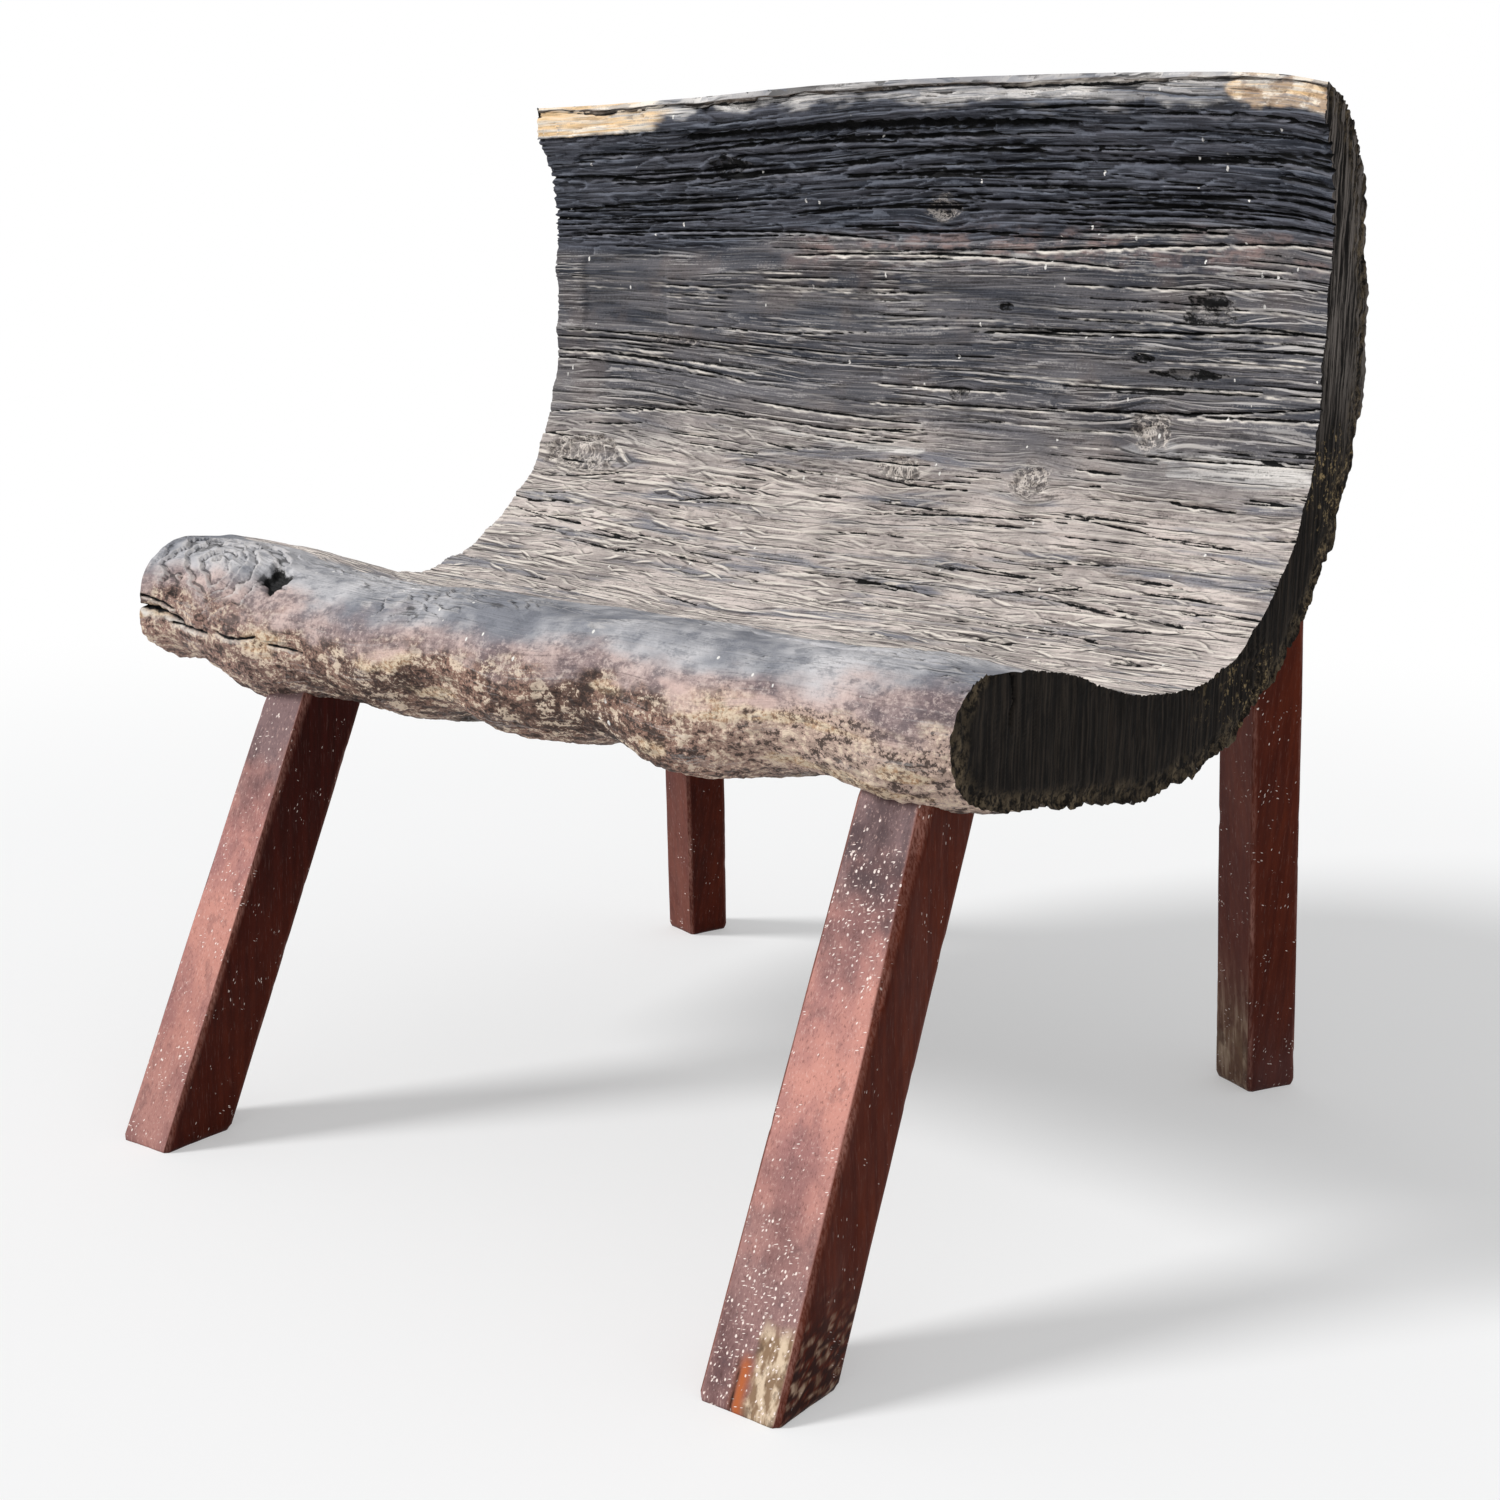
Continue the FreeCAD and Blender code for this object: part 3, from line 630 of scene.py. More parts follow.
def knotField(x, down):
    # ragged holes with lumps inside, darkened with painted shade inside and round their edges, torn spots, and the
    # grain
    # pushed aside: (down - level)*exp(-(r/1.4)^2)
    cut, dark, torn, push = (np.zeros(x.shape) for _ in range(4))
    ragged, lumps = skinNoise("knotEdge", x, down), skinNoise("knotLump", x, down)
    for along, level, wide, tall, depth, darkness in logRelief["knots"]:
        r = np.hypot((x - along) / wide, (down - level) / tall)
        push += 0.7 * (level - down) * bell(r, 1.4)
        r = r + 0.36 * ragged
        hole = smooth(r, 1.05, 0.70)
        cut -= depth * hole * (0.75 + 0.45 * lumps)
        inside = np.maximum(0.8 * bell(r - 0.92, 0.14), hole * (0.58 - 0.50 * lumps))
        dark = np.maximum(dark, darkness * inside)
        torn = np.maximum(torn, (1 - darkness) * smooth(r, 1.25, 0.85))
    return cut, dark, torn, push


def flatField(x, down):
    # rectangles with ragged sides, sunk a little and left smooth; the deeper ones have a torn edge
    share, edge, sunk = (np.zeros(x.shape) for _ in range(3))
    ragged = 0.0015 * skinNoise("flatEdge", x, down)
    for left, right, top, foot, depth in logRelief["flats"]:
        inside = np.minimum(np.minimum(x - left, right - x), 1.6 * np.minimum(down - top, foot - down)) + ragged
        deep = depth > 0.0015
        filled = smooth(inside, -0.001, 0.006 if deep else 0.016)
        share = np.maximum(share, filled)
        edge = np.maximum(edge, 0.5 * bell(inside, 0.0011) * deep)
        sunk = np.minimum(sunk, -depth * filled)
    return share, edge, sunk


def patches(x, down, places, low, high, roughness, slope=0.0):
    # 1 inside each ragged ellipse, r = hypot(dx/a, (dy - slope*dx)/b), and 0 outside
    total = np.zeros(x.shape)
    for along, level, wide, tall in places:
        r = np.hypot((x - along) / wide, (down - level - slope * (x - along)) / tall)
        total = np.maximum(total, smooth(r + roughness, low, high))
    return total


def shingles(level, edge, foot):
    # saw-tooth layers: each starts high and sinks evenly; returns height 0 to 1, its lit edge as painted light and its
    # dark foot as painted shadow
    part = level - np.floor(level)
    return (1 - part) * smooth(part, 0.0, 0.10), smooth(part, edge, 0.06), smooth(part, foot, 1.0)


def logZones(x, down):
    # shares 0 to 1 of each zone of the skin, border = down + a*wander + b*rough + c*x
    relief = logRelief
    skin = SimpleNamespace(seam=down[rowOf("lip"), 0], lastRun=down[-1, 0] + relief["lastStep"])
    skin.inner = smooth(down, skin.seam + 0.04, skin.seam - 0.02)
    skin.rough = skinNoise("rough", x, down)
    wander = relief["wanderDepth"] * skinNoise("wander", x, down)
    for zone, (level, far, coarse, lean, start, end) in relief["zones"].items():
        border = down + far * wander + coarse * skin.rough + lean * x
        setattr(skin, zone, smooth(border, level + start, level + end))
    skin.rear = smooth(down, skin.seam + 0.11, skin.seam + 0.20)
    skin.crown = smooth(down, skin.lastRun - 0.085, skin.lastRun - 0.06)
    skin.slate = (1 - skin.char) * (1 - skin.dust)
    skin.seat = skin.dust * (1 - skin.lip)
    skin.front = skin.lip * (1 - skin.rear)
    return skin


def hewnRelief(skin, x, down, grainDown):
    # fibres along the log, and splintered layers where it is charred; skin keeps what the shader needs
    high = logRelief["heights"]
    skin.patch, skin.patchEdge, sunk = flatField(x, down)
    skin.patch, skin.patchEdge = skin.patch * skin.slate, skin.patchEdge * skin.slate
    skin.fibre = skinNoise("fibre", x, grainDown)
    coarseLevel = grainDown / 0.0135 + 1.5 * skinNoise("coarseBend", x, grainDown)
    thinLevel = grainDown / 0.0066 + 1.2 * skinNoise("thinBend", x, grainDown)
    skin.coarse, coarseLit, coarseShadow = shingles(coarseLevel, 0.34, 0.74)
    thin, skin.thinLit, skin.thinFoot = shingles(thinLevel, 0.40, 0.70)
    skin.calm = np.maximum(smooth(skinNoise("calm", x, down), 0.0, 0.35) * skin.slate, skin.patch)
    skin.busy = 1 - 0.85 * skin.calm
    # layered is painted light on the lit edge of each layer and painted shadow at its foot
    skin.layered = 0.8 * coarseLit + 0.5 * skin.thinLit - 0.9 * coarseShadow - 0.6 * skin.thinFoot
    bare = (1 - skin.char) * (1 - skin.lip)
    height = high["swell"] * skin.inner * bare * skinNoise("swell", x, down) + skin.slate * sunk
    height += skin.char * (high["charCoarse"] * skin.coarse + high["charThin"] * thin + high["charFibre"] * skin.fibre
                           - high["charDrop"])
    height += bare * skin.busy * (high["fibre"] * skin.fibre + high["thin"] * thin)
    return height + skin.slate * skin.busy * high["coarse"] * skin.coarse


def lipRelief(skin, x, down, grainDown):
    # broad waves of the worn lip, wrinkled in places, with its knob and hole
    relief, high, roseFrom = logRelief, logRelief["heights"], logRelief["zones"]["rose"][0]
    height = high["lipWave"] * skin.front * (1 - 0.6 * skin.bark) * skinNoise("lipWave", x, down)
    knob, hole = relief["knob"], relief["hole"]
    swirl = np.hypot(x - knob["along"], (down - knob["down"]) * 1.2) / knob["radius"]
    skin.onKnob = smooth(swirl, 1.15, 0.8)
    swirl = swirl + 0.34 * skinNoise("swirl", x, down)
    # the lit edges and dark feet of the rings, and of the folds below, are painted light and painted shadow
    ring, skin.ringLit, skin.ringFoot = shingles(knob["rings"] * swirl, 0.45, 0.72)
    height += (1 - skin.rear) * skin.onKnob * (high["ring"] * ring - high["ringDrop"])
    folded = skinNoise("wrinkle", x, down) + 0.5 * bell(x + 0.13, 0.08) + 0.5 * bell(x - 0.28, 0.09)
    above = smooth(down, roseFrom + 0.01, roseFrom - 0.02)
    skin.wrinkled = skin.front * smooth(folded, 0.10, 0.55) * above
    fold, skin.foldLit, skin.foldFoot = shingles(grainDown / 0.011 + 2.0 * skinNoise("foldBend", x, down), 0.35, 0.75)
    height += skin.wrinkled * high["fold"] * fold
    pit = np.hypot((x - hole["along"]) * 0.7, down - hole["down"]) / hole["radius"]
    skin.pit = smooth(pit + 0.45 * skinNoise("pitEdge", x, down), 1.2, 0.55)
    return height - hole["depth"] * skin.pit


def barkRelief(skin, x, down):
    # crumbling bark of the lip's underside, then plates and furrows round the trunk
    high = logRelief["heights"]
    skin.clump, skin.barkFibre = skinNoise("clump", x, down), skinNoise("barkFibre", x, down)
    crumbs = high["crumb"] * skinNoise("crumb", x, down) + high["crumbClump"] * skin.clump
    plateOwn, plateEdge = cells(x / 0.085 + 0.3 * skin.clump, down / 0.026 + 0.3 * skin.clump, 73)
    skin.furrow = smooth(plateEdge, 0.30, 0.0)
    fibres = high["barkFibre"] * skin.barkFibre
    plates = high["barkClump"] * skin.clump - high["furrow"] * skin.furrow + high["plate"] * (plateOwn - 0.5) + fibres
    crown = high["crownClump"] * skin.clump + high["crownCoarse"] * skin.coarse + fibres - high["crownDrop"]
    height = skin.bark * (1 - skin.rear) * crumbs + skin.rear * (1 - skin.crown) * plates + skin.crown * crown
    # lumps on the right edge of the trunk, and the tongue at the left end of the lip
    lump = bell(x - 0.345, 0.05) * sum(size * bell(down - level, reach) for level, reach, size in logRelief["lumps"])
    height += high["lump"] * (lump + smooth(x, -0.25, -0.33) * bell(down - 0.818, 0.012))
    for along, level, wide, tall, depth in logRelief["arches"]:
        height -= depth * bell(np.hypot((x - along) / wide, (down - level) / tall), 1.0)
    return height


def wornSkin(skin, points, normals, x, down, height):
    # the skin with its relief; nothing moves outward at the top edge, whose two sides share one wear
    relief, form = logRelief, logForm
    half = 0.5 * form["length"]
    toEdge = np.minimum(down, skin.lastRun - down)
    wear = form["topWear"] * (1 - form["wearEase"] * (x / half) ** 2)
    ragged = np.clip(layers(x / 0.05, 0.5, 77, 3), 0, 1)
    height = smooth(toEdge, 0.0, 0.004) * height - (0.68 * wear + 0.002 * ragged) * bell(toEdge, 0.012)
    height = np.where(toEdge < 0.05, np.minimum(height, 0.0), height)

    # the top 4 mm are pressed down by a fifth, which keeps the crest below the solid's
    moved = points + normals * height[..., None]
    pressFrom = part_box("seat_log")[1][2] - relief["pressDepth"]
    moved[..., 2] -= relief["pressShare"] * np.maximum(moved[..., 2] - pressFrom, 0)

    # sawn ends: the edge is chipped back and nothing else moves along the log
    side = np.sign(x)
    chip = 0.25 + abs(layers(down / 0.012, side, 81, 3)) * smooth(layers(down / 0.09, side, 83, 2), -0.6, 0.6)
    moved[..., 0] -= side * relief["chips"] * chip * smooth(half - abs(x), 0.008, 0.0)
    moved[..., 0] = np.clip(moved[..., 0], -half, half)
    return moved


def carveLog(points, normals, x, down, edge, groove):
    # the worked surface over the smooth skin, and the values its shader reads
    relief = logRelief
    skin = logZones(x, down)
    knotCut, knotDark, torn, push = knotField(x, down)
    grainDown = down + relief["driftDepth"] * skinNoise("drift", x, down) + skin.inner * push
    height = hewnRelief(skin, x, down, grainDown) + lipRelief(skin, x, down, grainDown) + barkRelief(skin, x, down)
    cut, dark, pale = markField(x, down)
    height += cut * (1 - 0.5 * skin.patch) + skin.inner * knotCut
    dark = np.maximum(dark * (1 - 0.5 * skin.patch), skin.inner * knotDark)
    moved = wornSkin(skin, points, normals, x, down, height)

    # ridge is pale above 0 and dark below: painted light on the lit edges of splinters, folds and knob rings, painted
    # shade at their feet and in the bark furrows and grooves, with paler scoop edges and bark clumps; loud how strongly
    # the splinters show
    rough, slate, front = skin.rough, skin.slate, skin.front
    ridge = (skin.char * (0.85 * skin.layered + 0.30 * skin.fibre)
             + slate * skin.busy * (0.45 * skin.layered + 0.35 * skin.fibre)
             + skin.seat * (0.25 * skin.fibre + 0.25 * skin.thinLit - 0.30 * skin.thinFoot)
             + front * skin.onKnob * (1.0 * skin.ringLit - 1.3 * skin.ringFoot) * (1 - 0.7 * skin.bark)
             + skin.wrinkled * (1.0 * skin.foldLit - 1.3 * skin.foldFoot) * (1 - skin.onKnob)
             + slate * 0.5 * edge * smooth(rough, -0.1, 0.3) - 0.28 * skin.patch
             + skin.bark * (1 - skin.rear) * 0.4 * skin.clump
             + skin.rear * (0.7 * skin.barkFibre - 0.8 * np.maximum(skin.furrow, groove)))
    fresh = np.maximum(
        smooth(x + 0.01 * rough, -0.205, -0.225) * smooth(down + 0.002 * rough, 0.0265, 0.0235),
        smooth(x - 0.9 * down + 0.03 * rough, 0.268, 0.278) * smooth(down + 0.006 * rough, 0.025, 0.020))
    loud = (1 - skin.lip) * (skin.char + slate * (1 - 0.8 * skin.calm) + skin.seat) * (1 - 0.85 * fresh)
    slivers = (0.9 * smooth(x, 0.16, 0.30) * smooth(down, 0.125, 0.15)
               + 0.8 * smooth(x, 0.10, 0.24) * smooth(down, 0.235, 0.255))
    paleWood = patches(x, down, relief["split"], 1.0, 0.7, 0.6 * rough + 0.4 * skin.fibre, 0.03)
    # dark is painted shade in the cracks, knot holes and the pit; pale is the painted highlight on the rims below
    # cracks
    values = {
        "run": np.where(down > skin.lastRun - 0.1, down - skin.lastRun, grainDown),
        "ridge": ridge, "dark": np.maximum(dark, skin.pit), "pale": np.clip(pale * (1 - 0.5 * skin.patch), 0, 1),
        "torn": np.maximum(torn * skin.inner, 0.5 * skin.patchEdge * smooth(rough, 0.1, 0.4)),
        "cream": patches(x, down, relief["cream"], 1.0, 0.6, 0.5 * rough),
        "char": skin.char * skin.inner, "dust": skin.seat, "lip": front, "rose": skin.rose * (1 - skin.rear),
        "bark": skin.bark, "rear": skin.rear, "fresh": fresh,
        "loud": np.clip(loud + 0.55 * skin.wrinkled + 0.8 * skin.rear, 0, 1),
        "cross": skin.seat * (0.55 + 0.45 * np.maximum(smooth(down, 0.33, 0.42), smooth(x, 0.0, -0.1))),
        "warm": skin.inner * bell(down - 0.127 + 0.02 * x, 0.013) * smooth(x, -0.14, -0.05) * smooth(rough, -0.5, 0.2),
        "sliver": slate * (1 - skin.patch) * np.clip(slivers, 0, 1),
        # painted light on the rounded, upward-facing top of the band, and pale split wood
        "litTopAndSplitWood": np.maximum(smooth(down + 0.008 * rough - 0.012 * bell(x - 0.15, 0.15), 0.016, 0.008), 0.9 * paleWood),
    }
    return moved, values


# Materials of the log

# Tones name a texture, from, to and two colours, then blotches: texture, from, to, strength and colour
hewnLook = {
    # scale, detail and roughness of the textures that follow the grain, then of those in plain object coordinates
    "grainTextures": {
        "fibre": ((11, 260, 260), 3, 0.6), "streak": ((16, 700, 700), 3, 0.6), "broad": ((7, 55, 55), 3, 0.55),
        "web": ((110, 240, 240), 3, 0.65),
    },
    "bodyTextures": {
        "cloud": ((14, 14, 14), 4, 0.62), "mottle": ((60, 90, 90), 4, 0.65), "grit": ((280, 320, 320), 4, 0.78),
        "speck": ((620, 620, 620), 3, 0.65),
    },
    # period in metres, slope, bend, reach in metres and share
    "splinters": {
        "long": (0.0070, 0.0, 1.6, 0.18, 0.62), "fine": (0.0032, 0.02, 1.8, 0.07, 0.58),
        "rise": (0.0088, 0.24, 1.6, 0.06, 0.40), "fall": (0.0100, -0.32, 1.6, 0.06, 0.40),
    },
    # width, height and thickness in metres, lean and share
    "slits": {
        "gash": (0.110, 0.0120, 0.0007, 0.03, 0.60), "nick": (0.034, 0.0095, 0.0007, 0.14, 0.42),
        "chip": (0.032, 0.0105, 0.0013, 0.34, 0.50), "trail": (0.085, 0.0110, 0.0015, 0.11, 0.60),
    },
    # how strongly each texture shows in the fine lines
    "fine": {"fibre": 2.3, "streak": 3.0, "speck": 1.5},
    "tones": {
        "slate": [("broad", 0.36, 0.64, (62, 65, 74), (106, 104, 108)), ("cloud", 0.52, 0.66, 0.5, (112, 102, 99))],
        "char": [("broad", 0.36, 0.64, (44, 48, 58), (84, 85, 94))],
        "dust": [("cloud", 0.35, 0.65, (162, 152, 148), (222, 209, 202)),
                 ("broad", 0.52, 0.64, 0.85, (122, 124, 134)), ("mottle", 0.54, 0.66, 0.45, (122, 110, 106))],
        # the lip's blue-grey is partly a painted reflection of the sky on its worn top
        "lip": [("cloud", 0.38, 0.64, (132, 134, 142), (206, 204, 206)), ("mottle", 0.50, 0.62, 0.55, (108, 111, 120))],
        "rose": [("cloud", 0.38, 0.62, (122, 104, 106), (202, 178, 171)), ("mottle", 0.48, 0.60, 0.7, (106, 92, 95)),
                 ("grit", 0.52, 0.60, 0.50, (218, 198, 190)), ("grit", 0.46, 0.38, 0.45, (84, 70, 72))],
        # brown crumbs, pinker at the left and paler at the right, with cream crusts and dark gaps
        "bark": [("cloud", 0.38, 0.62, (92, 68, 58), (156, 121, 105)), ("along", -0.12, -0.26, 0.55, (176, 142, 130)),
                 ("along", 0.14, 0.28, 0.85, (210, 183, 168)), ("crust", 0.555, 0.61, 0.90, (234, 213, 190)),
                 ("crust", 0.46, 0.40, 0.88, (52, 38, 33))],
        "ochre": [("grit", 0.40, 0.58, (184, 146, 112), (234, 214, 186))],
        "rear": [("mottle", 0.38, 0.62, (48, 41, 37), (108, 96, 86))],
        # pale tone of the painted light on the top of the band and of pale split wood
        "litTopAndSplitWood": [("broad", 0.35, 0.62, (150, 148, 150), (236, 231, 226))],
        "fresh": [("fibre", 0.40, 0.60, (246, 210, 162), (255, 246, 232))],
        "ripped": [("grit", 0.42, 0.58, (46, 43, 43), (142, 134, 130))],
    },
    # plain colours of the coats; edge is a splinter's lit side and foot its dark one, painted light and painted shadow;
    # cut and hole are painted shade in slits, cracks and holes, the grey below chips is painted shade too, and rim and
    # rimInChar are painted highlights below cracks
    "colours": {
        "cream": (222, 192, 182), "stain": (176, 146, 118), "warm": (142, 122, 118), "foot": (22, 21, 23),
        "edge": (208, 203, 200), "edgeInSeat": (246, 237, 226), "edgeInChar": (120, 125, 137),
        "chipShade": (74, 68, 68), "cut": (16, 15, 16), "web": (226, 216, 206), "rim": (240, 232, 222),
        "rimInChar": (150, 150, 158), "hole": (8, 8, 9), "fleck": (240, 237, 232),
    },
    # scale of the white flecks, a little longer down than along, and of their clusters
    "flecks": ((95, 80, 46), (23, 23, 23)),
    # strength and reach of the bump, and the gloss
    "bump": (0.7, 0.0014, 0.3),
}


def makeHewnMaterial():
    wood = Shader(bpy.data.materials.new("hewnWood"))
    look, paint = hewnLook, hewnLook["colours"]
    value = {key: wood.value(key) for key in
             ("run", "ridge", "dark", "torn", "pale", "cream", "char", "dust", "lip", "rose", "bark", "rear", "loud",
              "cross", "fresh", "litTopAndSplitWood", "warm", "sliver")}
    # front textures lie along x and down the section; the outer bark uses plain object coordinates
    body = wood.place()
    along = wood.put("SeparateXYZ", {"Vector": body})[0]
    flat = wood.put("CombineXYZ", {"X": along, "Y": value["run"]})[0]
    outside = wood.math("GREATER_THAN", value["rear"], 0.5)
    place = wood.put("Mix", {0: outside, 4: flat, 5: body}, data_type="VECTOR")[1]
    texture = {name: wood.noise(place, *form) for name, form in look["grainTextures"].items()}
    texture.update({name: wood.noise(body, *form) for name, form in look["bodyTextures"].items()})
    texture["along"] = along
    offset = {name: wood.minus(texture[name], 0.5) for name in ("fibre", "streak", "speck", "mottle", "grit", "web")}
    crust = texture["crust"] = wood.add(texture["grit"], wood.product(offset["mottle"], 1.1))
    lit, foot, step, slit, rim = {}, {}, {}, {}, {}
    for name, form in look["splinters"].items():
        lit[name], foot[name], step[name] = wood.splinters(place, *form)
    for name, form in look["slits"].items():
        slit[name], rim[name] = wood.slits(flat, *form)

    # zone colours, each laid over the ones before it
    loud, cross, seat, char = value["loud"], value["cross"], value["dust"], value["char"]
    tones = {zone: wood.tone(texture, *table) for zone, table in look["tones"].items()}
    tones["rose"] = wood.blend(wood.product(value["cream"], 0.7), tones["rose"], paint["cream"])
    crusted = wood.product(value["cream"], wood.between(crust, 0.36, 0.50, 0.3, 1.0))
    tones["bark"] = wood.blend(crusted, tones["bark"], tones["ochre"])
    stained = wood.product(wood.between(texture["mottle"], 0.46, 0.58, 0.0, 0.8), wood.between(along, 0.0, 0.1))
    tones["fresh"] = wood.blend(stained, tones["fresh"], paint["stain"])
    warm = wood.product(value["warm"], wood.between(texture["mottle"], 0.40, 0.60))
    zones = [(value[zone], tones[zone]) for zone in ("dust", "lip", "rose", "bark", "rear", "litTopAndSplitWood", "fresh")]
    colour = wood.cover(tones["slate"], (char, tones["char"]), (warm, paint["warm"]), *zones)

    # pale edges and dark feet of the splinters and slits, painted as highlights and shadows, over the softer painted
    # light and shade of the carved relief
    fine = wood.add(*(wood.product(offset[name], share) for name, share in look["fine"].items()))
    relief = wood.add(value["ridge"], wood.product(fine, wood.between(value["lip"], 0.2, 0.8, 1.0, 0.65)))
    shade = wood.product(wood.between(relief, -0.10, -0.90), wood.between(value["fresh"], 0.0, 1.0, 0.85, 0.35))
    shine = wood.product(wood.between(relief, 0.15, 0.95), 0.60)
    patchy = wood.between(texture["broad"], 0.64, 0.40, 0.35, 1.0)
    inSeat = wood.product(seat, loud)
    onBack = wood.product(wood.minus(1.0, seat), loud)

    def splintered(part, fineShare):
        return wood.highest(wood.product(part["long"], loud), wood.product(part["fine"], loud, fineShare),
                            wood.product(wood.highest(part["rise"], part["fall"]), cross, 0.7))

    lights = wood.highest(
        wood.product(splintered(lit, 0.7), patchy), wood.product(rim["gash"], onBack, 0.8),
        wood.product(rim["nick"], inSeat, 0.8), wood.product(wood.highest(slit["chip"], slit["trail"]), cross),
        wood.product(value["sliver"], wood.highest(lit["long"], rim["nick"], slit["trail"])))
    # cut is painted shade in the gashes of the back and the nicks of the seat
    cut = wood.highest(wood.product(slit["gash"], onBack, wood.between(char, 0.2, 0.8, 1.0, 0.55)),
                       wood.product(slit["nick"], inSeat, patchy))
    palest = wood.cover(paint["edge"], (seat, paint["edgeInSeat"]), (char, paint["edgeInChar"]))
    # painted shade: a grey band along the lower side of the lit chips and trails
    chipShade = wood.product(wood.highest(rim["chip"], rim["trail"]), cross, 0.70)
    web = wood.between(wood.math("ABSOLUTE", offset["web"], 0.0), 0.045, 0.012)
    # ragged marks the near-black painted shade in the cracks, knot holes and the pit
    ragged = wood.add(value["dark"], wood.product(offset["grit"], 0.9))
    fleckScale, clusterScale = look["flecks"]
    seeds = wood.put("TexVoronoi", {"Vector": wood.stretched(body, fleckScale), "Scale": 1.0})
    picked = wood.between(wood.noise(body, clusterScale, 1), 0.55, 0.60)
    inside = wood.math("LESS_THAN", value["rear"], 0.2)
    colour = wood.cover(
        colour,
        (wood.product(wood.highest(splintered(foot, 0.75), shade), 0.85), paint["foot"]),
        (wood.product(wood.highest(lights, shine), 0.85), palest),
        (chipShade, paint["chipShade"]),
        (wood.product(cut, 0.92), paint["cut"]),
        (wood.product(value["torn"], 0.65), wood.blend(web, tones["ripped"], paint["web"])),
        (value["pale"], wood.blend(char, paint["rim"], paint["rimInChar"])),
        (wood.between(ragged, 0.32, 0.60), paint["hole"]),
        (wood.product(wood.between(seeds["Distance"], 0.105, 0.080), picked, inside), paint["fleck"]))

    height = wood.add(
        wood.product(wood.add(step["long"], wood.product(step["fine"], 0.6)), loud),
        wood.product(wood.add(step["rise"], step["fall"]), cross, 0.6), wood.product(slit["chip"], cross, 0.7),
        wood.product(cut, -1.2), wood.product(crust, value["bark"], 2.6), wood.product(fine, 0.35),
        wood.product(texture["speck"], 0.3))
    roughness = wood.minus(0.85, wood.product(value["lip"], 0.25))
    return wood.finish(colour, roughness, height, *look["bump"])


endLook = {
    "textures": {
        "streak": ((240, 320, 12), 5, 0.66), "saw": ((90, 900, 9), 2, 0.5), "patch": ((14, 14, 14), 3, 0.6),
        "soot": ((40, 60, 30), 4, 0.65), "crumb": ((190, 210, 170), 4, 0.75),
    },
    # the wood tone is near black, dark end grain with painted shade laid in, and the crack colour is painted shade in
    # the crack
    "wood": [("streak", 0.42, 0.66, (22, 19, 17), (52, 45, 39)), ("soot", 0.50, 0.66, 0.6, (14, 13, 13))],
    "crust": [("crumb", 0.42, 0.60, (20, 17, 14), (112, 98, 78))],
    "grey": (110, 103, 98), "gold": (150, 130, 94), "crack": (6, 6, 6), "bump": (0.8, 0.0014, 0.15),
}


def makeEndMaterial():
    wood = Shader(bpy.data.materials.new("sawnEnd"))
    place, look = wood.place(), endLook
    texture = {name: wood.noise(place, *form) for name, form in look["textures"].items()}
    streak, soot, crumb = texture["streak"], texture["soot"], texture["crumb"]
    rim = wood.value("rim")
    patch = wood.between(texture["patch"], 0.50, 0.62)
    colour = wood.cover(
        wood.tone(texture, *look["wood"]),
        (wood.product(rim, wood.between(soot, 0.60, 0.40, 0.3, 0.8)), wood.tone(texture, *look["crust"])),
        (wood.product(wood.value("high"), wood.between(streak, 0.46, 0.60)), look["grey"]),
        (wood.product(patch, wood.between(crumb, 0.55, 0.64), wood.value("gold")), look["gold"]),
        (wood.value("dark"), look["crack"]))
    height = wood.add(streak, soot, wood.product(texture["saw"], 0.5), wood.product(crumb, rim, 2.0))
    return wood.finish(colour, 0.9, height, *look["bump"])


# Building the log

def addLogPieces():
    points, normals, x, down, edge, groove, shift = logSkin()
    moved, values = carveLog(points, normals, x, down, edge, groove)
    finalNormals = gridNormals(moved)
    hewn = makeHewnMaterial()
    # each piece takes the rows from its stop to the next one
    face, lip, trunk, crown = (rowOf(name) for name in ("face", "lip", "trunk", "crown"))
    third = (lip - face) // 3
    stops = [crown - len(moved), face, face + third, face + 2 * third, lip, trunk, (trunk + crown) // 2, crown]
    names = ("logCrest", "logBack", "logHollow", "logSeat", "logLip", "logBelly", "logRear")
    for name, start, end in zip(names, stops, stops[1:]):
        rows = np.arange(start, end + 1) % len(moved)
        part = {key: data[rows].ravel() for key, data in values.items()}
        faces = gridFaces(np.arange(part["run"].size).reshape(len(rows), -1))
        meshPiece(name, moved[rows], faces, finalNormals[rows], part, "seat_log", hewn)
    print("log skin built,", moved.shape[0] * moved.shape[1], "points")
    addLogEnds(points, moved)
    return shift


# metres, but for the number of steps across, the fade and the lean
endForm = {
    "steps": 46, "fade": 14, "soundEdge": 0.004,
    "sawDepth": 0.0011, "ringDepth": 0.0012, "crumbDepth": 0.0020, "crackDepth": 0.004,
    "ringY": 0.160, "ringZ": 0.335, "ringWidth": 0.006,
    # the drying crack: distance behind the lip, lean, half width, and depths below the lip where it ends and is full
    "crackFrom": 0.020, "crackLean": 0.15, "crackWidth": 0.0012, "crackEnd": 0.045, "crackFull": 0.02,
}


